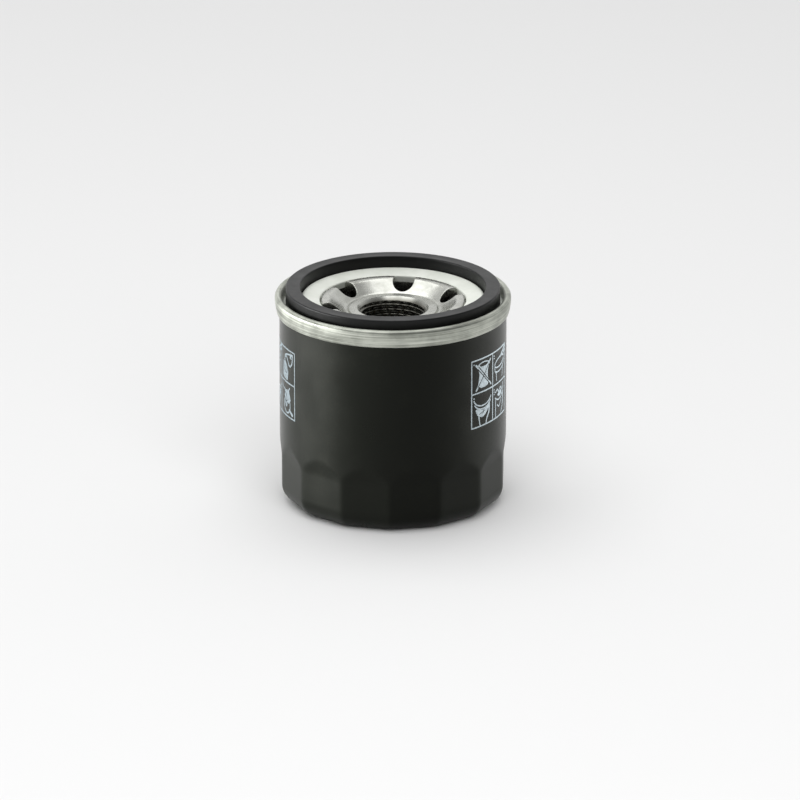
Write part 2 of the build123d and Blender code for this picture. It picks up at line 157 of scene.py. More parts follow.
def flow(points: Sequence[Point], steps: int = 8) -> Array:
    """Smooth curve through points: each span is a cubic, with end slopes of half its neighbours' chord."""
    knots = np.asarray(points, float)
    padded = np.vstack([2 * knots[:1] - knots[1:2], knots, 2 * knots[-1:] - knots[-2:-1]])
    before, start, end, after = padded[:-3, None], padded[1:-2, None], padded[2:-1, None], padded[3:, None]
    share = np.linspace(0, 1, steps, endpoint=False)[None, :, None]
    rise = end - before
    bend = 2 * before - 5 * start + 4 * end - after
    twist = 3 * (start - end) + after - before
    spans = start + 0.5 * share * (rise + share * (bend + share * twist))
    return np.vstack([spans.reshape(-1, 2), knots[-1:]])


def spun(points: Array, angle: Array | float) -> Array:
    """Flat points turned about the origin by an angle in radians."""
    x, y = points[..., 0], points[..., 1]
    return np.stack([x * np.cos(angle) - y * np.sin(angle), x * np.sin(angle) + y * np.cos(angle)], axis=-1)


def arc(centre: Point, radii: Point, start: float, end: float, tilt: float = 0.0, count: int = 28) -> Array:
    """Part of an ellipse from one angle to another, in degrees, with its long axis turned by the tilt."""
    angle = np.radians(np.linspace(start, end, count))
    return centre + spun(radii * np.stack([np.cos(angle), np.sin(angle)], axis=1), radians(tilt))


def normals(path: Array, closed: bool = False) -> Array:
    """Unit normals to the left of a flat path, from the chord between each point's two neighbours."""
    if closed:
        chord = np.roll(path, -1, axis=0) - np.roll(path, 1, axis=0)
    else:
        chord = np.gradient(path, axis=0)
    chord /= np.linalg.norm(chord, axis=1, keepdims=True)
    return np.stack([-chord[:, 1], chord[:, 0]], axis=1)


def thickened(line: Array, thickness: float) -> Array:
    """Closed outline of a strip: the line moved half the thickness to its left, then back along its right."""
    aside = normals(line) * thickness / 2
    return np.vstack([line + aside, (line - aside)[::-1]])


# ---------------------------------------------------------------- meshes


@dataclass(frozen=True)
class Patch:
    """A grid of points in millimetres.

    ring_rows and ring_columns say whether the last row or column joins the first. unrolled holds each
    corner's place on the flattened surface, in millimetres, with one more row or column where the grid joins.
    """

    points: Array
    unrolled: Array
    ring_rows: bool = False
    ring_columns: bool = False

    def corner_grid(self) -> tuple[Array, Array]:
        """Row and column of each face's first corner."""
        rows, columns = self.points.shape[:2]
        return np.meshgrid(
            np.arange(rows if self.ring_rows else rows - 1),
            np.arange(columns if self.ring_columns else columns - 1),
            indexing="ij",
        )

    def faces(self) -> Array:
        """Four vertex numbers for each face."""
        rows, columns = self.points.shape[:2]
        row, column = self.corner_grid()
        beside = (column + 1) % columns
        here, below = row * columns, (row + 1) % rows * columns
        corners = [here + column, here + beside, below + beside, below + column]
        return np.stack(corners, axis=-1).reshape(-1, 4)

    def face_map(self) -> Array:
        """Unrolled place of each face's four corners."""
        row, column = self.corner_grid()
        corners = [(row, column), (row, column + 1), (row + 1, column + 1), (row + 1, column)]
        return np.stack([self.unrolled[at] for at in corners], axis=-2).reshape(-1, 2)


def grid_patch(points: Array, ring_rows: bool = False, ring_columns: bool = False) -> Patch:
    """Patch unrolled by the mean length of its steps along rows and columns."""
    down = points if not ring_rows else np.concatenate([points, points[:1]], axis=0)
    full = down if not ring_columns else np.concatenate([down, down[:, :1]], axis=1)
    along = np.linalg.norm(np.diff(full, axis=1), axis=2).mean(axis=0)
    across = np.linalg.norm(np.diff(full, axis=0), axis=2).mean(axis=1)
    u, v = np.meshgrid(np.append(0, np.cumsum(along)), np.append(0, np.cumsum(across)))
    return Patch(points, np.stack([u, v], axis=-1), ring_rows, ring_columns)


def turned(profile: Array, segments: int, first: float = 0.0, closed: bool = True) -> Patch:
    """Surface of revolution of an (r, z) profile: each point goes to (r cos a, r sin a, z) at even angles a.

    Args:
        profile: Points of the profile. A closed one that repeats its first point has the repeat dropped.
        segments: The number of steps round the axis.
        first: The first angle, in radians.
        closed: Whether the profile's last point joins its first.
    """
    if closed and np.allclose(profile[0], profile[-1]):
        profile = profile[:-1]
    angle = first + 2 * pi * np.arange(segments) / segments
    return wrapped(profile[:, :1] + 0 * angle, profile[:, 1:] + 0 * angle, angle, closed)


def wrapped(radius: Array, height: Array, angle: Array, closed: bool) -> Patch:
    """Patch at (r cos a, r sin a, z) from grids of r and z, whose columns go all the way round the axis."""
    points = np.stack([radius * np.cos(angle), radius * np.sin(angle), height], axis=-1)
    return grid_patch(points, ring_rows=closed, ring_columns=True)


def build_piece(
    name: str, patches: Sequence[Patch], body: Body | None, sharp: float = 45.0
) -> bpy.types.Object:
    """Makes one mesh object from patches, welded where their edges meet.

    Args:
        name: The piece's name.
        patches: Grids in millimetres.
        body: The body that the piece rides on, or None for a piece that rides on no body.
        sharp: Edges that turn by more than this many degrees are shaded as creases.

    Returns:
        The new object, at the origin, with its faces pointing outwards.
    """
    first = np.cumsum([0] + [patch.points.shape[0] * patch.points.shape[1] for patch in patches])
    vertices = np.vstack([patch.points.reshape(-1, 3) for patch in patches]) * MM
    faces = np.vstack([patch.faces() + start for patch, start in zip(patches, first)])
    mesh = bpy.data.meshes.new(name)
    mesh.from_pydata(vertices.tolist(), [], faces.tolist())
    unrolled = np.vstack([patch.face_map() for patch in patches]).astype(np.float32)
    mesh.uv_layers.new(name="unrolled").data.foreach_set("uv", unrolled.ravel())
    work = bmesh.new()
    work.from_mesh(mesh)
    bmesh.ops.remove_doubles(work, verts=work.verts, dist=WELD)
    bmesh.ops.recalc_face_normals(work, faces=work.faces)
    work.to_mesh(mesh)
    work.free()
    mesh.shade_smooth()
    mesh.set_sharp_from_angle(angle=radians(sharp))
    piece = bpy.data.objects.new(name, mesh)
    bpy.context.scene.collection.objects.link(piece)
    if body is not None:
        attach(piece, body.value)
    LOG.info("%s: %d faces", name, len(mesh.polygons))
    return piece


def node_box(node: str) -> tuple[Array, Array]:
    """Lowest and highest corner of a frame node, in millimetres."""
    low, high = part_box(node)
    return np.array(low) / MM, np.array(high) / MM


# ---------------------------------------------------------------- finishes


def srgb(code: str) -> tuple[float, float, float, float]:
    """Linear colour from a hex code: (c + 0.055) / 1.055 to the power 2.4, or c / 12.92 where dark."""
    channels = [int(code[i : i + 2], 16) / 255 for i in (1, 3, 5)]
    linear = [c / 12.92 if c <= 0.04045 else ((c + 0.055) / 1.055) ** 2.4 for c in channels]
    return (linear[0], linear[1], linear[2], 1.0)


@dataclass
class Shading:
    """A material's node tree while it is being made."""

    tree: bpy.types.NodeTree
    shader: bpy.types.Node

    def add(self, kind: str, inputs: dict[str | int, object], **settings: object) -> bpy.types.Node:
        """Adds a node, sets it, and fills its inputs with values or links them to sockets.

        Args:
            kind: The node's type.
            inputs: Values or output sockets, by input name or number.
            **settings: Properties of the node itself.

        Returns:
            The new node.
        """
        node = self.tree.nodes.new(kind)
        for key, value in settings.items():
            setattr(node, key, value)
        for key, value in inputs.items():
            self.feed(node.inputs[key], value)
        return node

    def feed(self, socket: bpy.types.NodeSocket, value: object) -> None:
        """Links a socket to another, or gives it a value."""
        if isinstance(value, bpy.types.NodeSocket):
            self.tree.links.new(value, socket)
        else:
            socket.default_value = value

    def scaled(self, place: bpy.types.NodeSocket, factors: Triple) -> bpy.types.NodeSocket:
        """Place multiplied by a factor along each axis."""
        return self.add("ShaderNodeVectorMath", {0: place, 1: factors}, operation="MULTIPLY").outputs[0]

    def object_mm(self, stretch: Triple = (1, 1, 1)) -> bpy.types.NodeSocket:
        """Object coordinates in millimetres, divided by the stretch along each axis."""
        source = self.add("ShaderNodeTexCoord", {})
        return self.scaled(source.outputs["Object"], tuple(1 / (MM * part) for part in stretch))

    def unrolled_mm(self, stretch: Point = (1, 1)) -> bpy.types.NodeSocket:
        """Place on the piece's flattened surface in millimetres, divided by the stretch each way."""
        source = self.add("ShaderNodeUVMap", {}, uv_map="unrolled")
        return self.scaled(source.outputs[0], (1 / stretch[0], 1 / stretch[1], 1))

    def from_axis(self, place: bpy.types.NodeSocket) -> bpy.types.NodeSocket:
        """Distance of a place from the Z axis."""
        flat = self.scaled(place, (1, 1, 0))
        return self.add("ShaderNodeVectorMath", {0: flat}, operation="LENGTH").outputs[1]

    def noise(self, place: bpy.types.NodeSocket, size: float, detail: float = 3.0) -> bpy.types.NodeSocket:
        """Smooth noise from 0 to 1 with features of a size in millimetres."""
        inputs = {"Vector": place, "Scale": 1 / size, "Detail": detail, "Roughness": 0.55}
        return self.add("ShaderNodeTexNoise", inputs).outputs["Fac"]

    def ranged(self, value: bpy.types.NodeSocket, source: Point, target: Point) -> bpy.types.NodeSocket:
        """Value carried from one range to another and clamped there."""
        inputs = {0: value, 1: source[0], 2: source[1], 3: target[0], 4: target[1]}
        return self.add("ShaderNodeMapRange", inputs).outputs[0]

    def combine(self, operation: str, first: object, second: object) -> bpy.types.NodeSocket:
        """Arithmetic on two values."""
        return self.add("ShaderNodeMath", {0: first, 1: second}, operation=operation).outputs[0]

    def weighed(self, first: bpy.types.NodeSocket, second: bpy.types.NodeSocket) -> bpy.types.NodeSocket:
        """Sum of 0.6 of one value and 0.4 of another."""
        first, second = self.combine("MULTIPLY", first, 0.6), self.combine("MULTIPLY", second, 0.4)
        return self.combine("ADD", first, second)

    def mixed(
        self, share: bpy.types.NodeSocket, low: str | bpy.types.NodeSocket, high: str | bpy.types.NodeSocket
    ) -> bpy.types.NodeSocket:
        """Colour between two others, each a hex code or a socket."""
        ends = [srgb(end) if isinstance(end, str) else end for end in (low, high)]
        return self.add("ShaderNodeMix", {0: share, 6: ends[0], 7: ends[1]}, data_type="RGBA").outputs[2]

    def bump(self, height: bpy.types.NodeSocket, depth: float, strength: float = 1.0) -> None:
        """Bumps the surface by a height from 0 to 1 over a depth in millimetres, on top of earlier bumps."""
        earlier = [link.from_socket for link in self.shader.inputs["Normal"].links]
        inputs: dict[str | int, object] = {"Height": height, "Distance": depth * MM, "Strength": strength}
        if earlier:
            inputs["Normal"] = earlier[0]
        self.feed(self.shader.inputs["Normal"], self.add("ShaderNodeBump", inputs).outputs[0])

    def surface(self, values: dict[str, object]) -> None:
        """Fills the surface shader's own inputs."""
        for key, value in values.items():
            self.feed(self.shader.inputs[key], value)


@dataclass(frozen=True)
class Finish:
    """A finish that pieces share."""

    name: str

    def shade(self, shading: Shading) -> None:
        """Makes the finish's nodes."""
        raise NotImplementedError

    def material(self) -> bpy.types.Material:
        """The finish's material, made the first time that it is asked for."""
        name = f"finish_{self.name}"
        made = bpy.data.materials.get(name)
        if made is None:
            made = bpy.data.materials.new(name)
            made.use_nodes = True
            tree = made.node_tree
            tree.nodes.clear()
            shader = tree.nodes.new("ShaderNodeBsdfPrincipled")
            output = tree.nodes.new("ShaderNodeOutputMaterial")
            tree.links.new(shader.outputs[0], output.inputs[0])
            self.shade(Shading(tree, shader))
        return made

    def dress(self, piece: bpy.types.Object, slot: str | None = None) -> bpy.types.Object:
        """Puts the finish on every face of a piece."""
        if not piece.material_slots:
            piece.data.materials.append(None)
        for place in piece.material_slots:
            place.material = self.material()
        return piece


@dataclass(frozen=True)
class CanPaint(Finish):
    """Stoved black paint: nearly flat, with a faint orange peel, a little dust and soft handling marks."""

    colour: str = "#080907"
    dusty: str = "#12130f"

    def shade(self, shading: Shading) -> None:
        """Makes the finish's nodes."""
        place = shading.object_mm()
        clouds = shading.noise(place, 14.0, 4.0)
        specks = shading.noise(place, 0.5, 2.0)
        peel = shading.noise(place, 1.1, 1.0)
        dust = shading.ranged(shading.combine("MULTIPLY", clouds, specks), (0.28, 0.5), (0.0, 0.5))
        shading.surface(
            {
                "Base Color": shading.mixed(dust, self.colour, self.dusty),
                "Roughness": shading.ranged(clouds, (0.3, 0.7), (0.27, 0.33)),
                "Specular IOR Level": 0.11,
                "Specular Tint": (0.95, 0.98, 0.88, 1.0),
            }
        )
        shading.bump(peel, 0.012, 0.35)


@dataclass(frozen=True)
class ZincPlate(Finish):
    """Zinc-plated sheet: a pale, almost chalky coat, burnished grey by the seaming rollers round the edge."""

    pale: str = "#f1f4ec"
    dull: str = "#e6eae0"
    burnished: str = "#cccfc5"
    streaked: str = "#8a8d84"
    seam_radius: float = 32.0

    def shade(self, shading: Shading) -> None:
        """Makes the finish's nodes."""
        place = shading.object_mm()
        seam = shading.ranged(shading.from_axis(place), (self.seam_radius, self.seam_radius + 0.6), (0, 1))
        streaks = shading.noise(shading.unrolled_mm((22.0, 0.4)), 1.0, 3.0)
        clouds = shading.noise(place, 6.0, 4.0)
        grain = shading.noise(place, 0.35, 2.0)
        worn = shading.weighed(streaks, clouds)
        coat = shading.mixed(shading.ranged(clouds, (0.35, 0.65), (0, 1)), self.dull, self.pale)
        rolled = shading.mixed(shading.ranged(worn, (0.4, 0.62), (0, 1)), self.streaked, self.burnished)
        shading.surface(
            {
                "Base Color": shading.mixed(seam, coat, rolled),
                "Metallic": shading.ranged(seam, (0, 1), (0.12, 0.95)),
                "Roughness": shading.ranged(clouds, (0.3, 0.7), (0.4, 0.52)),
            }
        )
        shading.bump(streaks, 0.012, 0.3)
        shading.bump(grain, 0.005, 0.3)


@dataclass(frozen=True)
class StampedSteel(Finish):
    """Bright stamped steel: mottled by the press, with faint oil stains, fine grain, and a darker bore that
    is painted shade.
    """

    bright: str = "#bfc0ba"
    stained: str = "#aaaba4"
    roughness: Point = (0.24, 0.3)
    grain: float = 0.25
    # Radius inside which the colour is darkened as painted shade in the bore, and the colour of that painted
    # shade.
    shaded_bore_radius: float = 0.0
    painted_bore_shade: str = "#7a7972"

    def shade(self, shading: Shading) -> None:
        """Makes the finish's nodes."""
        place = shading.object_mm()
        mottle = shading.noise(place, 2.2, 5.0)
        stains = shading.noise(place, 7.0, 3.0)
        fine = shading.noise(place, self.grain, 2.0)
        spots = shading.ranged(shading.weighed(mottle, stains), (0.36, 0.56), (0, 1))
        colour = shading.mixed(spots, self.stained, self.bright)
        # Painted shade: inside the bore's radius the colour darkens towards the painted shade colour.
        if self.shaded_bore_radius:
            band = (self.shaded_bore_radius - 0.5, self.shaded_bore_radius + 0.3)
            colour = shading.mixed(shading.ranged(shading.from_axis(place), band, (0, 1)), self.painted_bore_shade, colour)
        shading.surface(
            {
                "Base Color": colour,
                "Metallic": 1.0,
                "Roughness": shading.ranged(mottle, (0.3, 0.7), (self.roughness[1], self.roughness[0])),
            }
        )
        shading.bump(mottle, 0.004, 0.25)
        shading.bump(fine, 0.008, 0.35)


@dataclass(frozen=True)
class MouldedRubber(Finish):
    """Nitrile rubber: dark, matte, with lathe lines round it and a trace of bloom."""

    colour: str = "#070808"
    bloom: str = "#101112"
    lines: bool = True

    def shade(self, shading: Shading) -> None:
        """Makes the finish's nodes."""
        place = shading.object_mm()
        clouds = shading.noise(place, 5.0, 4.0)
        grain = shading.noise(place, 0.22, 2.0)
        share = shading.ranged(clouds, (0.45, 0.75), (0, 0.55))
        shading.surface(
            {
                "Base Color": shading.mixed(share, self.colour, self.bloom),
                "Roughness": shading.ranged(clouds, (0.3, 0.7), (0.34, 0.44)),
                "Specular IOR Level": 0.28,
            }
        )
        if self.lines:
            shading.bump(shading.noise(shading.unrolled_mm((30.0, 0.16)), 1.0, 2.0), 0.02, 0.3)
        shading.bump(grain, 0.01, 0.35)


@dataclass(frozen=True)
class FilterPaper(Finish):
    """Resin-treated paper: warm, fibrous and fully matte."""

    colour: str = "#cfa566"
    fibre: str = "#e2c48e"

    def shade(self, shading: Shading) -> None:
        """Makes the finish's nodes."""
        fibres = shading.noise(shading.object_mm((1, 1, 3.5)), 0.5, 4.0)
        clouds = shading.noise(shading.object_mm(), 7.0, 3.0)
        fuzz = shading.combine("MULTIPLY", fibres, shading.ranged(clouds, (0.3, 0.7), (0.7, 1.3)))
        share = shading.ranged(fuzz, (0.3, 0.7), (0, 1))
        shading.surface(
            {
                "Base Color": shading.mixed(share, self.colour, self.fibre),
                "Roughness": 0.92,
                "Specular IOR Level": 0.25,
            }
        )
        shading.bump(fibres, 0.06, 0.6)


@dataclass(frozen=True)
class PottingCompound(Finish):
    """Cured compound: glossy, amber, with a skin that sagged as it set."""

    colour: str = "#7a5524"
    thin: str = "#a87c3e"

    def shade(self, shading: Shading) -> None:
        """Makes the finish's nodes."""
        flow_marks = shading.noise(shading.object_mm(), 3.0, 3.0)
        share = shading.ranged(flow_marks, (0.3, 0.7), (0, 1))
        shading.surface(
            {
                "Base Color": shading.mixed(share, self.colour, self.thin),
                "Roughness": shading.ranged(flow_marks, (0.3, 0.7), (0.22, 0.4)),
            }
        )
        shading.bump(flow_marks, 0.15, 0.5)


@dataclass(frozen=True)
class PrintedInk(Finish):
    """Pale printing ink, a little thin in places."""

    colour: str = "#606b70"
    thin: str = "#4a5458"

    def shade(self, shading: Shading) -> None:
        """Makes the finish's nodes."""
        wear = shading.noise(shading.object_mm(), 0.7, 3.0)
        share = shading.ranged(wear, (0.35, 0.6), (0, 1))
        shading.surface(
            {
                "Base Color": shading.mixed(share, self.thin, self.colour),
                "Roughness": shading.ranged(wear, (0.3, 0.7), (0.42, 0.6)),
            }
        )


CAN_PAINT = CanPaint("can_paint")
LID_ZINC = ZincPlate("zinc_plate")
# The plate's bore is darkened by painted shade inside this radius.
PLATE_STEEL = StampedSteel("stamped_steel", shaded_bore_radius=9.9)
CAP_STEEL = StampedSteel("tinned_sheet", "#cfccc2", "#9d998d", (0.28, 0.45), 0.4)
VALVE_STEEL = StampedSteel("valve_sheet", "#b9b8b3", "#83817b", (0.25, 0.42), 0.3)
SPRING_STEEL = StampedSteel("spring_steel", "#9b9a9b", "#5d5c5e", (0.2, 0.35), 0.15)
GASKET_RUBBER = MouldedRubber("gasket_rubber")
VALVE_RUBBER = MouldedRubber("valve_rubber", "#262321", "#3b3735", False)
SEAL_RUBBER = MouldedRubber("seal_rubber", "#1e2024", "#34363a", False)
TUBE_STEEL = StampedSteel("tube_sheet", "#c3c2bd", "#8b8a84", (0.25, 0.45), 0.3)
SEALANT = MouldedRubber("seam_compound", "#1d1d1c", "#30302e", False)
PAPER = FilterPaper("filter_paper")
POTTING = PottingCompound("potting_compound")
INK = PrintedInk("printed_ink")


# ---------------------------------------------------------------- can


@dataclass
class Can:
    """Deep-drawn can with wrench flats pressed round its foot."""

    sheet: float = 0.4
    seam_gap: float = 0.03
    hook_bend: float = 0.37
    hook_clearance: float = 0.65
    corner: float = 6.0
    foot_ring: float = 7.0
    panel_step: float = 1.5
    panel_recess: float = 1.0
    panel_bend: float = 0.8
    flats: int = 14
    flat_depth: float = 0.75
    flat_top: tuple[float, float] = (14.6, 20.4)
    ridge_angle: float = -1.4
    ridge_softness: float = 0.1
    columns_per_flat: int = 22
    radius: float = field(init=False)
    seam_bottom: float = field(init=False)
    roll_top: float = field(init=False)
    hook_outer: float = field(init=False)

    def __post_init__(self) -> None:
        """Takes the can's height from its frame node, and its wall's place from the lid's."""
        high = node_box("can_shell")[1]
        self.roll_top = high[2]
        self.hook_outer = high[0]
        self.radius = self.hook_outer - 2 * (self.sheet + self.seam_gap)
        self.seam_bottom = node_box("seaming_lid")[0][2]

    def outline(self) -> Array:
        """Closed (r, z) outline of the sheet: up its outside from the base's middle, then down inside."""
        edge = self.radius - self.corner - self.foot_ring
        half = self.sheet / 2
        wall = self.radius - half
        line = rounded(
            [
                (0.0, self.panel_recess + half),
                (edge - self.panel_step, self.panel_recess + half),
                (edge, half),
                (wall, half),
                (wall, self.roll_top - half),
                (self.hook_outer - half, self.roll_top - half),
                (self.hook_outer - half, self.seam_bottom + self.hook_clearance),
            ],
            [0, self.panel_bend, self.panel_bend, self.corner - half, self.hook_bend, self.hook_bend, 0],
            0.7,
        )
        outline = thickened(line, self.sheet)
        outline[[0, -1], 0] = 0.0
        return outline

    def inset(self, radius: Array, height: Array) -> Array:
        """Depth of a flat's middle under the round wall: full at the foot, fading up and into the base."""
        up = 1 - smoothstep(height, *self.flat_top)
        out = smoothstep(radius, self.radius - self.corner, self.radius - 0.25 * self.corner)
        return self.flat_depth * up * out

    def build(self) -> bpy.types.Object:
        """Makes the can.

        On a flat the radius is the smaller of the round wall's r and (r - inset) / cos(angle from the flat's
        middle), with the crease between them rounded.
        """
        outline = squeezed(self.outline(), self.radius, self.seam_bottom)
        columns = self.flats * self.columns_per_flat
        pitch = 2 * pi / self.flats
        ridge = radians(self.ridge_angle) - pi / 2
        angle = ridge + 2 * pi * np.arange(columns) / columns
        from_middle = (angle - ridge) % pitch - pitch / 2
        radius, height = outline[:, :1], outline[:, 1:]
        inset = self.inset(radius, height)
        flat = (radius - inset) / np.cos(from_middle)
        softness = self.ridge_softness * inset / self.flat_depth
        fluted = np.where(inset > 1e-4, soft_min(radius, flat, softness), radius)
        piece = build_piece("painted_can", [wrapped(fluted, height + 0 * angle, angle, True)], Body.HOUSING)
        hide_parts("can_shell")
        return CAN_PAINT.dress(piece, "can_paint")


SEAM_TAPER = 0.42
SEAM_TAPER_HEIGHT = 3.6


def squeezed(outline: Array, wall: float, seam_bottom: float) -> Array:
    """Draws the layers of the rolled seam in towards the can's wall at their foot.

    Outside the wall, r becomes wall + (r - wall) (1 - taper s), where s falls from 1 at the seam's foot to 0
    a little under its top.
    """
    radius, height = outline[:, 0], outline[:, 1]
    fall = 1 - smoothstep(height, seam_bottom - 0.3, seam_bottom + SEAM_TAPER_HEIGHT)
    share = np.where(height > seam_bottom - 0.5, fall, 0.0)
    outside = np.maximum(radius - wall, 0.0)
    return np.stack([radius - SEAM_TAPER * share * outside, height], axis=1)


# ---------------------------------------------------------------- lid and gasket


@dataclass
class LidAndGasket:
    """Seamed lid with its gasket groove, and the gasket that stands in it."""

    can: Can
    sheet: float = 0.4
    groove_depth: float = 3.4
    shelf_drop: float = 0.8
    shelf_dish: float = 1.0
    shelf_outer: float = 26.8
    shelf_inner: float = 21.2
    flange_foot: float = 58.95
    layer: float = 0.43
    segments: int = 240
    gasket_width: float = 4.2
    gasket_edge: float = 0.35
    gasket_hollow: float = 0.05

    def lid_outline(self) -> Array:
        """Closed (r, z) outline of the lid's sheet, from its hook in the seam to its inner flange."""
        low, high = node_box("seaming_lid")
        half = self.sheet / 2
        wall = self.can.radius - half
        chuck, hook, outer = wall - self.layer, wall + self.layer, wall + 3 * self.layer
        top, foot = high[2] - half, low[2] + half
        floor = high[2] - self.groove_depth - half
        shelf = high[2] - self.shelf_drop - half
        line = rounded(
            [
                (hook, foot + 3.4),
                (hook, foot),
                (outer, foot),
                (outer, top),
                (chuck, top),
                (chuck, floor),
                (self.shelf_outer - half, floor),
                (self.shelf_outer - half, shelf),
                (self.shelf_inner + half, shelf - self.shelf_dish),
                (self.shelf_inner + half, self.flange_foot),
            ],
            [0, 0.4, 0.4, 0.84, 0.84, 0.6, 0.6, 0.8, 0.26, 0],
            0.22,
        )
        return thickened(line, self.sheet)

    def build(self) -> list[bpy.types.Object]:
        """Makes the lid and the gasket."""
        return [self.build_lid(), self.build_gasket()]

    def build_lid(self) -> bpy.types.Object:
        """Makes the lid.

        The hem is not quite even: its foot rises and falls by a sum of three sines of the angle, and a
        shallow bead runs round the seam where the second roller stopped.
        """
        outline = squeezed(self.lid_outline(), self.can.radius, self.can.seam_bottom)
        angle = 2 * pi * np.arange(self.segments) / self.segments
        radius, height = outline[:, :1] + 0 * angle, outline[:, 1:] + 0 * angle
        outside = smoothstep(radius, self.can.radius + 0.1, self.can.radius + 0.5)
        foot = 1 - smoothstep(height, self.can.seam_bottom, self.can.seam_bottom + 2.4)
        wander = 0.05 * np.sin(3 * angle + 0.6) + 0.035 * np.sin(7 * angle) + 0.02 * np.sin(19 * angle + 1.1)
        bead_height = self.can.seam_bottom + 1.55
        bead = 0.06 * np.exp(-(((height - bead_height) / 0.3) ** 2)) * smoothstep(radius, 33.4, 33.6)
        patch = wrapped(radius + bead, height + wander * outside * foot, angle, True)
        lid = build_piece("seamed_lid", [patch], Body.HOUSING)
        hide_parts("seaming_lid")
        return LID_ZINC.dress(lid, "galvanised_lid")

    def build_gasket(self) -> bpy.types.Object:
        """Makes the gasket: a square ring with softened edges and faces that are a little hollow."""
        low, high = node_box("gasket")
        outer = high[0]
        inner = outer - self.gasket_width
        edge = self.gasket_edge
        corners = [(inner, low[2]), (outer, low[2]), (outer, high[2]), (inner, high[2])]
        outline = rounded(corners, [edge] * 4, 0.2, True)
        middle = (inner + outer) / 2
        crown = np.clip(1 - ((outline[:, 0] - middle) / (middle - inner)) ** 2, 0, 1)
        outline[:, 1] -= np.where(outline[:, 1] > high[2] - edge, self.gasket_hollow * crown, 0.0)
        gasket = build_piece("gasket_ring", [turned(outline, self.segments)], Body.HOUSING)
        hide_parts("gasket")
        return GASKET_RUBBER.dress(gasket, "gasket_rubber")


# ---------------------------------------------------------------- tapping plate


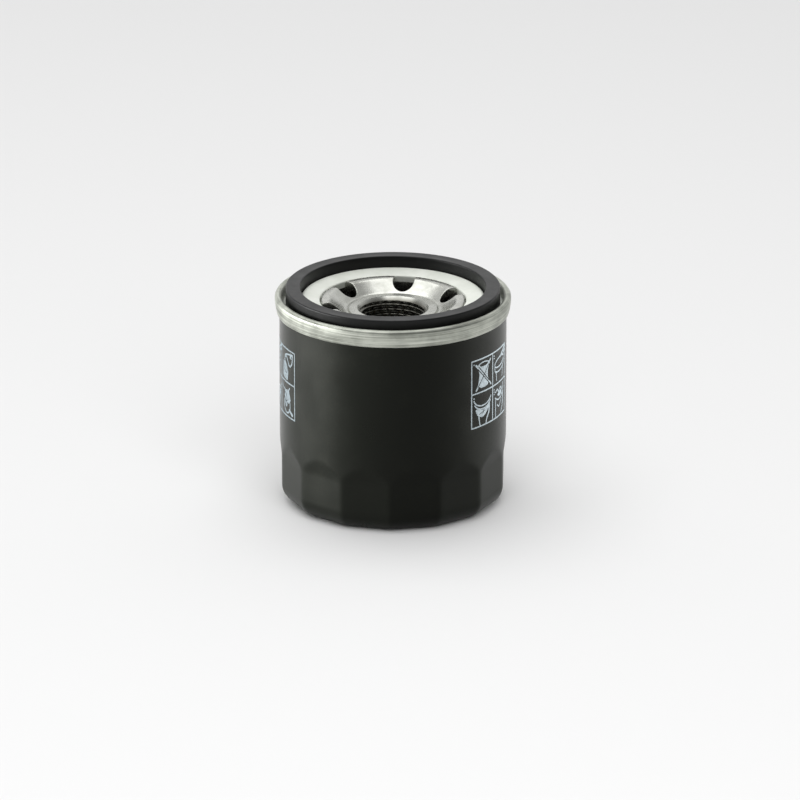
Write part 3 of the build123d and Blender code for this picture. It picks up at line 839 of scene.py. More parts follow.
@dataclass
class TappingPlate:
    """Stamped plate with a raised shoulder, a dished middle, a threaded neck and open inlet slots."""

    thickness: float = 2.5
    minor_radius: float = 9.19
    major_radius: float = 9.98
    pitch: float = 1.5
    lead_in: float = 1.2
    lead_out: float = 0.5
    neck_wall: float = 3.01
    slots: int = 6
    slot_width: float = 6.1
    slot_setback: float = 3.3
    first_slot: float = 80.0
    slot_edge: float = 0.3
    ring_start: float = 14.2
    ring_end: float = 22.4
    steps: int = 42
    side_steps: int = 24
    shoulder: float = 21.1
    shoulder_height: float = 2.15
    outer: float = field(init=False)
    bottom: float = field(init=False)
    flange_top: float = field(init=False)
    hub_top: float = field(init=False)
    valley: float = field(init=False)

    def __post_init__(self) -> None:
        """Takes the plate's heights and rim from its frame node."""
        low, high = node_box("tapping_plate")
        self.outer, self.bottom = high[0], low[2]
        self.flange_top = high[2] - self.shoulder_height
        self.hub_top = self.flange_top - 0.6
        self.valley = self.hub_top - 0.6

    def top_line(self) -> Array:
        """Upper side, from the hub's chamfer out to the middle of the rim."""
        crest = self.flange_top + self.shoulder_height
        neck = self.minor_radius + self.neck_wall
        corners = [
            (self.minor_radius + self.lead_in, self.hub_top),
            (neck + 0.7, self.hub_top),
            (neck + 1.0, self.valley),
            (neck + 1.9, self.valley),
            (self.shoulder - 2.5, crest),
            (self.shoulder, crest),
            (self.shoulder + 0.02, self.flange_top),
            (self.outer, self.flange_top),
            (self.outer + 0.01, self.flange_top - self.thickness / 2),
        ]
        return rounded(corners, [0, 0.4, 0.25, 1.4, 2.0, 0.7, 0.45, 0.5, 0], 0.3)

    def under_line(self) -> Array:
        """Lower side, from the foot's chamfer out to the middle of the rim."""
        crest = self.flange_top + self.shoulder_height - self.thickness
        neck = self.minor_radius + self.neck_wall
        foot = self.flange_top - self.thickness
        corners = [
            (self.minor_radius + self.lead_out, self.bottom),
            (neck, self.bottom),
            (neck + 0.02, self.valley - self.thickness),
            (neck + 1.8, self.valley - self.thickness),
            (self.shoulder - 3.0, crest),
            (self.shoulder - 2.0, crest),
            (self.shoulder - 1.98, foot),
            (self.outer, foot),
            (self.outer + 0.01, self.flange_top - self.thickness / 2),
        ]
        return rounded(corners, [0, 0.3, 0.5, 1.2, 0.95, 0.55, 0.6, 0.5, 0], 0.3)

    def columns(self) -> Array:
        """Angles that every ring shares, starting at the first sector's border."""
        sector = 2 * pi / self.slots
        first = radians(self.first_slot) - sector / 2
        return first + sector * np.arange(self.steps * self.slots) / self.steps

    def thread(self, angle: Array) -> Patch:
        """Wall of the neck, from the hub's chamfer down to the foot's.

        A V groove climbs one pitch a turn: its root lies at the major radius, its flanks come in by
        1 / tan 30 for each millimetre up or down, and the radius stays between the minor and the major one.
        A cone at each end opens it further.
        """
        height = np.linspace(self.hub_top, self.bottom, 133)[:, None]
        turn = (height / self.pitch - angle / (2 * pi)) % 1.0
        from_root = np.abs(turn - 0.5) * self.pitch
        groove = self.major_radius - np.maximum(from_root - self.pitch / 12, 0.0) / tan(radians(30))
        groove = np.maximum(groove, self.minor_radius)
        top_cone = self.minor_radius + self.lead_in - (self.hub_top - height)
        foot_cone = self.minor_radius + self.lead_out - (height - self.bottom)
        radius = np.maximum(np.maximum(groove, top_cone), foot_cone)
        radius[0] = self.minor_radius + self.lead_in
        radius[-1] = self.minor_radius + self.lead_out
        return wrapped(radius, height + 0 * angle, angle, False)

    def part_of(self, line: Array, start: float, end: float) -> Array:
        """Stretch of a line from one radius to another, with its new ends put in."""
        radius = np.maximum.accumulate(line[:, 0] + 1e-7 * np.arange(len(line)))
        inside = (radius > start + 0.02) & (radius < end - 0.02)
        ends = np.stack([[start, end], np.interp([start, end], radius, line[:, 1])], axis=1)
        return np.vstack([ends[:1], line[inside], ends[1:]])

    def sector_walk(self) -> tuple[Array, Array]:
        """Slot's edge and the sector border that faces each of its points, as radius and angle.

        The edge goes round the slot's inner end, out along one side, across its wide mouth and back along
        the other side. The border is the same walk along the sector's inner arc, one side, outer arc and
        other side.
        """
        half = self.slot_width / 2
        centre, mouth = self.shoulder - self.slot_setback, self.shoulder + 0.1
        side_end = float(np.sqrt(mouth**2 - half**2))
        bend = np.linspace(3 * pi / 2, pi / 2, self.steps + 1)
        swing = np.linspace(1, -1, self.steps + 1) * np.arcsin(half / mouth)
        out = np.linspace(centre, side_end, self.side_steps + 1)
        edge = [
            np.stack([centre + half * np.cos(bend), half * np.sin(bend)], axis=1),
            np.stack([out, np.full_like(out, half)], axis=1),
            np.stack([mouth * np.cos(swing), mouth * np.sin(swing)], axis=1),
            np.stack([out[::-1], np.full_like(out, -half)], axis=1),
        ]
        sector = pi / self.slots
        across = np.linspace(-sector, sector, self.steps + 1)
        border_run = np.linspace(self.ring_start, self.ring_end, self.side_steps + 1)
        border = [
            np.stack([np.full_like(across, self.ring_start), across], axis=1),
            np.stack([border_run, np.full_like(border_run, sector)], axis=1),
            np.stack([np.full_like(across, self.ring_end), across[::-1]], axis=1),
            np.stack([border_run[::-1], np.full_like(border_run, -sector)], axis=1),
        ]
        flat = np.vstack([part[:-1] for part in edge])
        polar = np.stack([np.hypot(flat[:, 0], flat[:, 1]), np.arctan2(flat[:, 1], flat[:, 0])], axis=1)
        return polar, np.vstack([part[:-1] for part in border])

    def sheet_side(self, line: Array, edge: Array, border: Array, shares: Array) -> Array:
        """One side of a sector as radius, angle and height, from its border in to the slot's edge.

        Radius becomes running length along the side's section. Length and angle are mixed by the shares, and
        the length is turned back into radius and height.
        """
        radius = np.maximum.accumulate(line[:, 0] + 1e-7 * np.arange(len(line)))
        length = np.append(0, np.cumsum(np.linalg.norm(np.diff(line, axis=0), axis=1)))
        start, end = np.interp(border[:, 0], radius, length), np.interp(edge[:, 0], radius, length)
        run = start + shares[:, None] * (end - start)
        angle = border[:, 1] + shares[:, None] * (edge[:, 1] - border[:, 1])
        section = [np.interp(run, length, line[:, axis]) for axis in (0, 1)]
        return np.stack([section[0], angle, section[1]], axis=-1)

    def sector(self, middle: float, top: Array, under: Array) -> Patch:
        """Sector of the plate with one slot through it: its top, the slot's wall and its underside.

        The wall goes straight down between the two edges, which are rounded by quarter turns a few rows long.
        """
        edge, border = self.sector_walk()
        shares = np.append(np.linspace(0, 0.94, 12), [0.965, 0.98, 0.992, 1.0])
        upper = self.sheet_side(top, edge, border, shares)
        lower = self.sheet_side(under, edge, border, shares)[::-1]
        soft = self.slot_edge
        sag = soft * np.array([0.0] * 11 + [0.0, 0.03, 0.13, 0.35, 0.75])
        upper[..., 2] -= sag[:, None]
        lower[..., 2] += sag[::-1, None]
        drop = np.linspace(0, 1, 8)[1:-1, None, None]
        wall = upper[-1:] + drop * (lower[:1] - upper[-1:])
        grid = np.concatenate([upper, wall, lower], axis=0)
        angle = grid[..., 1] + middle
        points = np.stack([grid[..., 0] * np.cos(angle), grid[..., 0] * np.sin(angle), grid[..., 2]], axis=-1)
        return grid_patch(points, ring_columns=True)

    def build(self) -> bpy.types.Object:
        """Makes the plate from its thread, hub, slotted sectors and rim, welded together."""
        top, under, angle = self.top_line(), self.under_line(), self.columns()
        hub_top = self.part_of(top, self.minor_radius + self.lead_in, self.ring_start)
        hub_foot = self.part_of(under, self.minor_radius + self.lead_out, self.ring_start)
        top_rim = self.part_of(top, self.ring_end, self.outer + 0.01)
        under_rim = self.part_of(under, self.ring_end, self.outer + 0.01)
        patches = [self.thread(angle)]
        for line in (hub_top, hub_foot, np.vstack([top_rim, under_rim[::-1][1:]])):
            patches.append(wrapped(line[:, :1] + 0 * angle, line[:, 1:] + 0 * angle, angle, False))
        for slot in range(self.slots):
            patches.append(self.sector(radians(self.first_slot) + 2 * pi * slot / self.slots, top, under))
        plate = build_piece("threaded_plate", patches, Body.HOUSING, 40.0)
        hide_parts("tapping_plate")
        return PLATE_STEEL.dress(plate, "bright_steel")


# ---------------------------------------------------------------- drainback valve


@dataclass
class DrainbackValve:
    """Rubber valve: a collar on the neck and a thin cone that ends in a lip under the plate."""

    collar_edge: float = 0.25
    collar_wall: float = 1.6
    web: float = 1.0
    lip_width: float = 1.4
    lip_thickness: float = 0.9
    lip_edge: float = 0.25
    sag: float = 0.12
    thinning: float = 0.12
    segments: int = 192

    def build(self) -> list[bpy.types.Object]:
        """Makes the collar, which stands still, and the cone with its lip."""
        low, high = node_box("drainback_valve_sleeve")
        inner, outer = high[0] - self.collar_wall, high[0]
        corners = [(inner, low[2]), (outer, low[2]), (outer, high[2]), (inner, high[2])]
        outline = rounded(corners, [self.collar_edge] * 4, 0.15, True)
        collar = build_piece("valve_collar", [turned(outline, self.segments)], Body.HOUSING)
        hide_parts("drainback_valve_sleeve")
        return [VALVE_RUBBER.dress(collar, "valve_rubber"), self.build_cone(outer)]

    def build_cone(self, start: float) -> bpy.types.Object:
        """Makes the cone: a section that sags a little between the collar and the lip, turned about Z."""
        web_low = node_box("drainback_valve_web")[0]
        lip_low, lip_high = node_box("drainback_valve_lip")
        lip_inner = lip_high[0] - self.lip_width
        run = np.linspace(0, 1, 14)
        radius = start - 0.05 + run * (lip_inner - start + 0.05)
        start_height, end_height = web_low[2] + self.web / 2, lip_high[2] - self.lip_thickness / 2
        middle = start_height + run * (end_height - start_height) - self.sag * np.sin(pi * run)
        half = 0.5 * (self.web - self.thinning * run)
        upper, lower = np.stack([radius, middle + half], axis=1), np.stack([radius, middle - half], axis=1)
        lip = rounded(
            [
                (lip_inner + 0.1, lip_high[2] - 0.06),
                (lip_high[0] - 0.55, lip_high[2]),
                (lip_high[0], lip_high[2]),
                (lip_high[0], lip_low[2]),
                (lip_inner + 0.3, lip_low[2] + 0.02),
            ],
            [0, 0.1, self.lip_edge, self.lip_edge, 0],
            0.15,
        )
        outline = np.vstack([upper[:-1], lip, lower[::-1][1:]])
        cone = build_piece("valve_cone", [turned(outline, self.segments)], None)
        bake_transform(cone)
        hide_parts("drainback_valve_web", "drainback_valve_lip")
        return VALVE_RUBBER.dress(cone, "valve_rubber")


# ---------------------------------------------------------------- filter element


@dataclass
class Element:
    """Pleated paper between two end caps, on a perforated tube."""

    nodes: dict[str, bpy.types.Object]
    pleats: int = 42
    paper: float = 0.6
    inner: float = 14.4
    outer: float = 26.0
    fold_steps: int = 9
    bulge: float = 0.16

    def build(self) -> list[bpy.types.Object]:
        """Makes the paper, and dresses the element's other pieces."""
        pieces = [self.build_paper()]
        for node, finish in {
            "upper_end_cap": CAP_STEEL,
            "lower_end_cap": CAP_STEEL,
            "centre_tube": TUBE_STEEL,
            "media_seam_clip": CAP_STEEL,
            "upper_potting": POTTING,
            "lower_potting": POTTING,
            "element_spring": SPRING_STEEL,
        }.items():
            finish.dress(self.nodes[node])
        return pieces

    def build_paper(self) -> bpy.types.Object:
        """Makes the paper.

        Its centre line runs out along one side of a pleat, round a fold of half a turn, in along the next
        side and round the fold inside, all the way round. The paper is half its thickness to each side of
        the line, and bulges by a sine between the caps so that no two heights look the same.
        """
        low, high = node_box("filter_media")
        pitch = 2 * pi / self.pleats
        out_half, in_half = self.outer * sin(pitch / 4), self.inner * sin(pitch / 4)
        bend = np.linspace(-pi / 2, pi / 2, self.fold_steps)
        tip = np.stack([self.outer - out_half + out_half * np.cos(bend), out_half * np.sin(bend)], axis=1)
        root = np.stack([self.inner + in_half - in_half * np.cos(bend), in_half * np.sin(bend)], axis=1)
        one = np.vstack([tip, spun(root, pitch / 2)])
        line = spun(one, pitch * np.arange(self.pleats)[:, None]).reshape(-1, 2)
        aside = normals(line, closed=True) * self.paper / 2
        height = np.linspace(low[2], high[2], 15)
        share = (height - low[2]) / (high[2] - low[2])
        radial = np.hypot(line[:, 0], line[:, 1])
        weight = smoothstep(radial, self.inner + 1.5, self.outer - 6)
        weight = weight * (1 - smoothstep(radial, self.outer - 4, self.outer))
        around = np.arctan2(line[:, 1], line[:, 0])
        wave = self.bulge * np.sin(7 * around + 2.0)[:, None] * np.sin(pi * share)[None, :] ** 2
        tangent = np.stack([-line[:, 1], line[:, 0]], axis=1) / radial[:, None]
        walls = []
        for side in (1, -1):
            flat = line + side * aside
            moved = flat[:, None] + (wave * weight[:, None])[..., None] * tangent[:, None]
            raised = np.broadcast_to(height[None, :, None], moved.shape[:2] + (1,))
            walls.append(np.concatenate([moved, raised], axis=2))
        ring = np.concatenate([walls[0], walls[1][:, ::-1]], axis=1).transpose(1, 0, 2)
        patch = grid_patch(ring, ring_rows=True, ring_columns=True)
        paper = build_piece("pleated_paper", [patch], Body.HOUSING, 60.0)
        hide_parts("filter_media")
        return PAPER.dress(paper, "filter_paper")


# ---------------------------------------------------------------- bypass valve


@dataclass
class BypassValve:
    """Spring-loaded plunger on a seat in the foot of the tube, under a guide cage."""

    nodes: dict[str, bpy.types.Object]
    wire: float = 0.9
    coil_radius: float = 6.2
    turns: float = 6.0
    closed_turns: float = 1.0
    closed_rise: float = 0.93
    ground: float = 0.12
    blur_steps: int = 15
    path_steps: int = 420
    wire_steps: int = 14

    def build(self) -> list[bpy.types.Object]:
        """Makes the spring and dresses the valve's other pieces."""
        for node, finish in {
            "bypass_valve_seat": VALVE_STEEL,
            "bypass_valve_cage": VALVE_STEEL,
            "bypass_valve_plunger": VALVE_STEEL,
            "bypass_valve_seal": SEAL_RUBBER,
        }.items():
            finish.dress(self.nodes[node])
        return [self.build_spring()]

    def build_spring(self) -> bpy.types.Object:
        """Makes the spring.

        Its path climbs slowly over the closed turn at each end and evenly between them. A circle of the
        wire's radius is carried along it in the plane of the radius and the axis, and is ground flat at both
        ends by holding every height between the spring's own ends.
        """
        low, high = node_box("bypass_valve_spring")
        share = np.linspace(0, 1, self.path_steps)
        turn = share * self.turns
        slow = self.closed_rise * self.wire
        closed = (turn < self.closed_turns) | (turn > self.turns - self.closed_turns)
        climb = high[2] - low[2] - self.wire
        free = (climb - 2 * slow * self.closed_turns) / (self.turns - 2 * self.closed_turns)
        blur = np.hanning(2 * self.blur_steps + 1)
        padded = np.pad(np.where(closed, slow, free), self.blur_steps, mode="edge")
        rate = np.convolve(padded, blur / blur.sum(), mode="valid")
        height = np.append(0, np.cumsum(0.5 * (rate[1:] + rate[:-1]) * np.diff(turn)))
        height = low[2] + self.wire / 2 + height * climb / height[-1]
        angle = 2 * pi * turn[:, None]
        section = 2 * pi * np.arange(self.wire_steps) / self.wire_steps
        radius = self.coil_radius + self.wire / 2 * np.cos(section)
        lift = height[:, None] + self.wire / 2 * np.sin(section)
        lift = np.clip(lift, low[2] + self.ground, high[2] - self.ground)
        points = np.stack([radius * np.cos(angle), radius * np.sin(angle), lift], axis=-1)
        foot_pole = np.repeat(points[:1].mean(axis=1, keepdims=True), self.wire_steps, axis=1)
        full = np.concatenate([foot_pole, points], axis=0)
        spring = build_piece("valve_spring", [grid_patch(full, ring_columns=True)], None, 50.0)
        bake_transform(spring)
        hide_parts("bypass_valve_spring")
        return SPRING_STEEL.dress(spring, "spring_steel")


# ---------------------------------------------------------------- printed panels


@dataclass(frozen=True)
class Stroke:
    """A printed line: its points in millimetres across and up the panel, and its widths from end to end."""

    points: Sequence[Point]
    width: float
    end_width: float | None = None
    curved: bool = False


@dataclass(frozen=True)
class Fill:
    """A printed patch whose whole border can be seen from its centre."""

    border: Sequence[Point]
    centre: Point
    curved: bool = False


@dataclass(frozen=True)
class Layer:
    """Ink or paint laid on the can: its finish and how far it stands off the wall."""

    finish: Finish
    lift: float
    sunk: float = 0.05


@dataclass
class PrintedPanel:
    """Fitting instructions in ruled cells, printed on the can's wall.

    left, right and the dividers are angles from the front, positive towards +X, in degrees.
    """

    name: str
    wall: float
    left: float
    right: float
    dividers: Sequence[float]
    bottom: float = 29.2
    middle: float = 39.55
    top: float = 49.7
    rule: float = 0.42

    def on_wall(self, flat: Array, lift: Array | float) -> Array:
        """Points wrapped on the wall: x / wall radius is the angle from the front, y the height."""
        angle = flat[..., 0] / self.wall
        radius = self.wall + lift
        return np.stack([radius * np.sin(angle), -radius * np.cos(angle), flat[..., 1]], axis=-1)

    def stroke(self, line: Stroke, layer: Layer) -> Patch:
        """Strip along a line with round ends.

        At a distance d past an end the half width w becomes the square root of w^2 - d^2. Its section is a
        low box whose foot lies under the wall's surface.
        """
        path = flow(line.points) if line.curved else np.asarray(line.points, float)
        path = divided(path, 0.35)
        step = np.append(0, np.cumsum(np.linalg.norm(np.diff(path, axis=0), axis=1)))
        share = step / step[-1]
        half = 0.5 * (line.width + share * ((line.end_width or line.width) - line.width))
        ahead = np.gradient(path, axis=0)
        ahead /= np.linalg.norm(ahead, axis=1, keepdims=True)
        reach = np.sin(np.linspace(0, pi / 2, 5)[1:])
        before = path[0] - ahead[0] * (half[0] * reach[::-1, None])
        after = path[-1] + ahead[-1] * (half[-1] * reach[:, None])
        ends = np.sqrt(np.maximum(1 - reach**2, 0.0004))
        full = np.vstack([before, path, after])
        half = np.concatenate([half[0] * ends[::-1], half, half[-1] * ends])
        ahead = np.vstack([np.repeat(ahead[:1], 4, axis=0), ahead, np.repeat(ahead[-1:], 4, axis=0)])
        aside = np.stack([-ahead[:, 1], ahead[:, 0]], axis=1)
        across = np.array([-1.0, -1.0, 0.0, 1.0, 1.0])
        lift = np.array([-layer.sunk, layer.lift, layer.lift, layer.lift, -layer.sunk])
        flat = full[:, None] + aside[:, None] * (half[:, None] * across)[..., None]
        return grid_patch(self.on_wall(flat, lift), ring_columns=True)

    def fill(self, shape: Fill, layer: Layer) -> Patch:
        """Low block: rings that shrink to its centre, over a skirt and a floor that lie inside the wall."""
        knots = [*shape.border, shape.border[0]]
        edge = divided(flow(knots) if shape.curved else np.asarray(knots, float), 0.4)[:-1]
        centre = np.asarray(shape.centre, float)
        scale = np.array([0.02, 1.0, 1.0, 0.66, 0.33, 0.02])
        lift = np.array([-layer.sunk, -layer.sunk, layer.lift, layer.lift, layer.lift, layer.lift])
        flat = centre + scale[:, None, None] * (edge - centre)
        return grid_patch(self.on_wall(flat, lift[:, None]), ring_columns=True)

    def cell(self, left_edge: float, row: int) -> Point:
        """Lower left corner of a cell, from the angle of its left edge and its row from the bottom."""
        return radians(left_edge) * self.wall, self.middle if row else self.bottom

    def placed(self, shapes: Sequence[Stroke | Fill], corner: Point) -> list[Stroke | Fill]:
        """Shapes moved from their cell's own corner to its place on the panel."""
        moved: list[Stroke | Fill] = []
        for shape in shapes:
            if isinstance(shape, Fill):
                border = [(x + corner[0], y + corner[1]) for x, y in shape.border]
                centre = (shape.centre[0] + corner[0], shape.centre[1] + corner[1])
                moved.append(Fill(border, centre, shape.curved))
            else:
                points = [(x + corner[0], y + corner[1]) for x, y in shape.points]
                moved.append(Stroke(points, shape.width, shape.end_width, shape.curved))
        return moved

    def rules(self) -> list[Stroke]:
        """Ruled border and dividers."""
        left, right = radians(self.left) * self.wall, radians(self.right) * self.wall
        heights = (self.bottom, self.middle, self.top)
        lines = [Stroke([(left, height), (right, height)], self.rule) for height in heights]
        for angle in (self.left, *self.dividers, self.right):
            across = radians(angle) * self.wall
            lines.append(Stroke([(across, self.bottom), (across, self.top)], self.rule))
        return lines

    def build(self, drawings: Sequence[tuple[float, int, "Drawing"]]) -> list[bpy.types.Object]:
        """Makes the panel's ink, and the paint-coloured lines that cut into it.

        Args:
            drawings: For each drawing its cell's left edge in degrees, its row from the bottom, and itself.
        """
        ink: list[Stroke | Fill] = list(self.rules())
        cuts: list[Stroke | Fill] = []
        for left_edge, row, drawing in drawings:
            corner = self.cell(left_edge, row)
            ink += self.placed(drawing.ink, corner)
            cuts += self.placed(drawing.cuts, corner)
        pieces = []
        layers = (("ink", ink, Layer(INK, 0.02)), ("cut_lines", cuts, Layer(CAN_PAINT, 0.03)))
        for part, shapes, layer in layers:
            patches = [self.fill(s, layer) if isinstance(s, Fill) else self.stroke(s, layer) for s in shapes]
            piece = build_piece(f"{self.name}_{part}", patches, Body.HOUSING, 30.0)
            pieces.append(layer.finish.dress(piece, "can_paint"))
        return pieces


@dataclass(frozen=True)
class Drawing:
    """A small picture: what is inked, and the lines left dark on it."""

    ink: Sequence[Stroke | Fill]
    cuts: Sequence[Stroke | Fill] = ()


def ellipse(
    centre: Point, radii: Point, width: float, tilt: float = 0.0, start: float = 0, end: float = 360
) -> Stroke:
    """Stroke along an ellipse or a part of one."""
    return Stroke([tuple(point) for point in arc(centre, radii, start, end, tilt)], width)


def disc(centre: Point, radii: Point, tilt: float = 0.0) -> Fill:
    """Filled ellipse."""
    return Fill([tuple(point) for point in arc(centre, radii, 0, 360, tilt)[:-1]], centre)


def pips(count: int) -> list[Fill]:
    """Step marks: a column of dots in the cell's upper left corner."""
    return [disc((0.95, 9.0 - 0.75 * step), (0.24, 0.24)) for step in range(count)]


DAMAGED = Drawing(
    [
        *pips(1),
        Fill(
            [
                *[(2.6, 8.0), (3.3, 5.5), (2.7, 2.2), (4.0, 1.3), (5.6, 1.2)],
                *[(7.2, 1.5), (7.9, 2.3), (7.2, 4.4), (7.3, 6.0), (8.1, 8.2)],
            ],
            (5.2, 4.8),
        ),
        disc((5.35, 8.15), (2.75, 1.0)),
        Stroke([(1.8, 8.6), (8.9, 1.3)], 0.62),
        Stroke([(1.9, 0.9), (8.6, 8.9)], 0.62),
    ],
    [
        disc((5.35, 8.25), (2.05, 0.55)),
        Stroke([(2.7, 7.2), (8.4, 1.4)], 0.28),
        Stroke([(3.0, 7.9), (8.0, 2.6)], 0.28),
        Stroke([(2.6, 1.7), (7.7, 7.6)], 0.28),
    ],
)
OILED = Drawing(
    [
        *pips(2),
        ellipse((4.9, 6.3), (3.6, 1.35), 0.42, 8),
        ellipse((4.9, 4.9), (3.6, 1.35), 0.42, 8, 180, 360),
        Stroke([(1.35, 5.8), (1.35, 4.4)], 0.42),
        Stroke([(8.45, 6.8), (8.45, 5.4)], 0.42),
        Stroke([(9.4, 9.6), (8.2, 8.9), (6.6, 8.3), (5.4, 7.6)], 1.0, 0.7, True),
        Stroke([(9.6, 8.4), (8.4, 8.0), (7.2, 7.4)], 0.8, 0.5, True),
        Stroke([(2.2, 3.4), (2.6, 1.0)], 0.4),
        Stroke([(7.6, 3.8), (7.0, 1.2)], 0.4),
    ],
    [Stroke([(8.9, 9.0), (7.1, 8.1)], 0.16)],
)
TURNED = Drawing(
    [
        *pips(2),
        ellipse((5.0, 9.0), (4.2, 2.9), 0.42, 0, 200, 340),
        ellipse((5.0, 8.1), (4.1, 3.0), 0.42, 0, 205, 335),
        Fill(
            [
                *[(1.6, 5.2), (2.4, 3.6), (3.6, 2.9), (4.8, 2.6), (6.4, 3.4)],
                *[(8.2, 5.6), (8.0, 6.4), (6.3, 5.1), (4.4, 4.8), (2.6, 5.6)],
            ],
            (4.6, 4.1),
            True,
        ),
        Stroke([(3.0, 3.4), (3.3, 1.6), (3.6, 0.2)], 0.5, 0.4, True),
        Stroke([(8.0, 5.8), (7.9, 3.4), (6.8, 1.6), (6.4, 0.2)], 0.9, 0.4, True),
    ],
    [Stroke([(3.3, 3.7), (5.9, 4.4)], 0.2), Stroke([(4.9, 3.5), (5.4, 4.9)], 0.18)],
)
WIPED = Drawing(
    [
        *pips(3),
        Stroke([(1.6, 6.2), (3.0, 5.4), (4.6, 5.2), (6.6, 6.0), (8.4, 8.0)], 0.42, 0.42, True),
        Stroke([(1.8, 7.9), (3.2, 8.5), (4.0, 7.6), (5.6, 8.6), (6.4, 7.6), (7.8, 9.2)], 0.42, 0.42, True),
        Fill([(3.0, 6.8), (4.4, 6.1), (6.2, 6.6), (6.0, 7.6), (4.2, 7.4)], (4.8, 6.9), True),
        Stroke([(1.9, 5.6), (1.9, 0.5)], 0.42),
        Stroke([(3.0, 3.8), (4.3, 3.0), (5.6, 4.2), (6.3, 6.1)], 0.4, 0.4, True),
        Stroke([(7.6, 6.6), (7.4, 3.2), (6.0, 0.5)], 0.8, 0.4, True),
    ],
)
POURED = Drawing(
    [
        Stroke(
            [
                *[(8.7, 8.1), (8.9, 9.3), (7.2, 9.0), (4.6, 8.5), (3.4, 7.9), (3.5, 7.5)],
                *[(4.6, 7.9), (5.7, 6.8), (6.4, 5.6), (7.4, 5.4), (8.4, 6.4), (8.8, 8.1)],
            ],
            0.5,
            0.5,
        ),
        disc((7.9, 8.4), (0.8, 0.6), 12),
        Fill(
            [(1.9, 5.8), (1.6, 1.6), (3.0, 0.9), (5.4, 0.6), (6.0, 3.0), (5.2, 5.2), (3.4, 6.9)],
            (3.6, 3.4),
        ),
        disc((3.4, 7.0), (0.26, 0.42)),
    ],
    [ellipse((3.8, 4.6), (1.3, 1.9), 0.2, 25), disc((8.2, 8.4), (0.26, 0.26))],
)
INSPECTED = Drawing(
    [
        ellipse((3.9, 9.2), (3.0, 1.5), 0.42, 0, 190, 350),
        Fill([(3.4, 7.4), (6.3, 8.4), (7.6, 5.4), (6.2, 4.0), (3.6, 4.6), (2.6, 5.8)], (5.0, 6.0)),
        ellipse((4.9, 3.5), (2.3, 2.5), 0.5),
        disc((4.2, 3.9), (0.9, 1.3), 20),
        Stroke([(6.6, 2.2), (8.6, 1.2)], 0.75, 0.95),
    ],
    [ellipse((3.9, 5.6), (0.9, 1.4), 0.22, 25), Stroke([(4.0, 3.2), (4.6, 4.7)], 0.2)],
)


# ---------------------------------------------------------------- studio


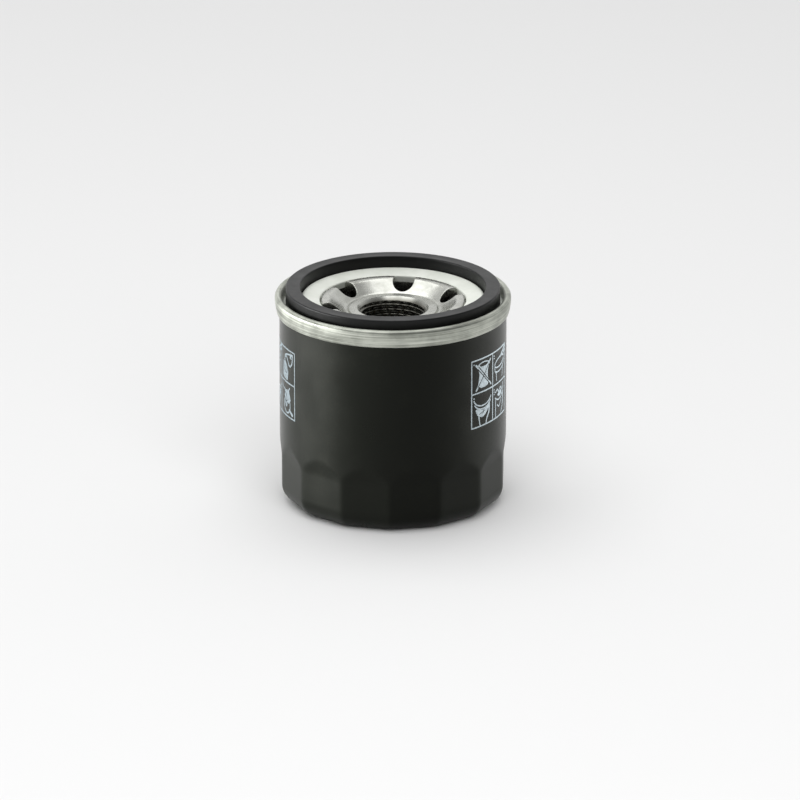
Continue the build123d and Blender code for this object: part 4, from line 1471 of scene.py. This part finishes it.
@dataclass
class Studio:
    """Pale floor, soft lights and the camera."""

    aim: tuple[float, float, float] = (2.05, 0.0, 29.66)
    distance: float = 2500.0
    elevation: float = 19.6
    lens: float = 386.1
    floor_width: float = 4.0
    grey: str = "#e0e0e0"

    def build(self) -> None:
        """Makes the camera, the floor, the lights and the sky."""
        self.build_camera()
        self.build_floor()
        self.build_lights()
        self.build_sky()
        bpy.context.scene.view_settings.view_transform = "Standard"

    def build_camera(self) -> None:
        """Puts the camera in front of the object, looking down at it."""
        camera = bpy.data.objects.new("camera", bpy.data.cameras.new("camera"))
        bpy.context.scene.collection.objects.link(camera)
        camera.data.lens = self.lens
        camera.data.sensor_width = 36.0
        camera.data.clip_end = 20.0
        aim = Vector(self.aim) * MM
        rise = radians(self.elevation)
        camera.location = aim + Vector((0, -cos(rise), sin(rise))) * self.distance * MM
        camera.rotation_euler = (aim - camera.location).to_track_quat("-Z", "Y").to_euler()
        bpy.context.scene.camera = camera

    def build_floor(self) -> None:
        """Lays a plain matte floor under the object."""
        half = self.floor_width / 2
        mesh = bpy.data.meshes.new("floor")
        corners = [(-half, -half, 0), (half, -half, 0), (half, half, 0), (-half, half, 0)]
        mesh.from_pydata(corners, [], [(0, 1, 2, 3)])
        floor = bpy.data.objects.new("floor", mesh)
        bpy.context.scene.collection.objects.link(floor)
        material = bpy.data.materials.new("floor")
        material.use_nodes = True
        shader = material.node_tree.nodes["Principled BSDF"]
        shader.inputs["Base Color"].default_value = srgb(self.grey)
        shader.inputs["Roughness"].default_value = 1.0
        shader.inputs["Specular IOR Level"].default_value = 0.0
        mesh.materials.append(material)

    def light(
        self,
        name: str,
        azimuth: float,
        elevation: float,
        away: float,
        size: Point,
        power: float,
        only: str = "",
    ) -> None:
        """Adds a softbox that faces the object.

        Args:
            name: The light's name.
            azimuth: Its direction from the front, positive towards +X, in degrees.
            elevation: Its direction above the floor, in degrees.
            away: Its distance in metres.
            size: Its width and height in metres.
            power: Its power in watts.
            only: Names, separated by spaces, of the pieces that it lights, or nothing where it lights all.
        """
        lamp = bpy.data.lights.new(name, "AREA")
        lamp.shape = "RECTANGLE"
        lamp.size, lamp.size_y = size
        lamp.energy = power
        holder = bpy.data.objects.new(name, lamp)
        bpy.context.scene.collection.objects.link(holder)
        turn, rise = radians(azimuth), radians(elevation)
        way = Vector((sin(turn) * cos(rise), -cos(turn) * cos(rise), sin(rise)))
        holder.location = Vector((0, 0, 0.03)) + way * away
        holder.rotation_euler = (-way).to_track_quat("-Z", "Y").to_euler()
        if only:
            lit = bpy.data.collections.new(f"{name}_lit")
            for piece in only.split():
                lit.objects.link(bpy.data.objects[piece])
            holder.light_linking.receiver_collection = lit

    def build_lights(self) -> None:
        """Hangs a wide softbox overhead and a fill for the floor; low ones stand to graze the sides."""
        right_print = "right_panel_ink right_panel_cut_lines"
        self.light("overhead", -100, 80, 1.3, (1.5, 1.5), 13.0)
        self.light("front_fill", 8, 42, 1.6, (1.6, 1.2), 14.5, "floor")
        self.light("left_low", -84, 5, 0.55, (0.5, 0.16), 24.0, "painted_can")
        self.light("left_back", -148, 4, 0.7, (0.4, 0.14), 32.0, "painted_can")
        self.light("right_low", 104, 6, 0.6, (0.5, 0.16), 13.0, f"painted_can {right_print}")
        self.light("right_back", 148, 4, 0.7, (0.36, 0.14), 16.0, "painted_can")
        self.light("left_edge", -84, 5, 0.55, (0.5, 0.16), 9.0, "left_panel_ink left_panel_cut_lines")
        self.light("left_metal", -84, 5, 0.55, (0.5, 0.16), 3.5, "seamed_lid gasket_ring")

    def build_sky(self) -> None:
        """Gives a pale sky that is bright behind the object and dims towards the camera's side."""
        world = bpy.data.worlds.new("studio")
        world.use_nodes = True
        tree = world.node_tree
        tree.nodes.clear()
        background = tree.nodes.new("ShaderNodeBackground")
        output = tree.nodes.new("ShaderNodeOutputWorld")
        tree.links.new(background.outputs[0], output.inputs[0])
        shading = Shading(tree, background)
        place = shading.add("ShaderNodeTexCoord", {}).outputs["Generated"]
        axes = shading.add("ShaderNodeSeparateXYZ", {0: place})
        background.inputs["Color"].default_value = srgb("#ffffff")
        strength = shading.ranged(axes.outputs[1], (0.1, 0.92), (0.27, 1.05))
        shading.feed(background.inputs["Strength"], strength)
        bpy.context.scene.world = world


# ---------------------------------------------------------------- whole


def main() -> None:
    """Loads the frame, builds every sub-assembly on it, and reports each piece."""
    logging.basicConfig(level=logging.INFO, format="%(name)s: %(message)s")
    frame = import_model()
    nodes = frame["nodes"]
    can = Can()
    can.build()
    LidAndGasket(can).build()
    TappingPlate().build()
    DrainbackValve().build()
    Element(nodes).build()
    BypassValve(nodes).build()
    SEALANT.dress(nodes["seam_sealant"])
    PrintedPanel("right_panel", can.radius, 43.5, 78.3, (60.9,)).build(
        [(43.5, 1, DAMAGED), (60.9, 1, OILED), (43.5, 0, TURNED), (60.9, 0, WIPED)]
    )
    PrintedPanel("left_panel", can.radius, -94.3, -59.5, (-76.9,)).build(
        [(-76.9, 1, POURED), (-76.9, 0, INSPECTED), (-94.3, 1, OILED), (-94.3, 0, TURNED)]
    )
    Studio().build()


if __name__ == "__main__":
    main()
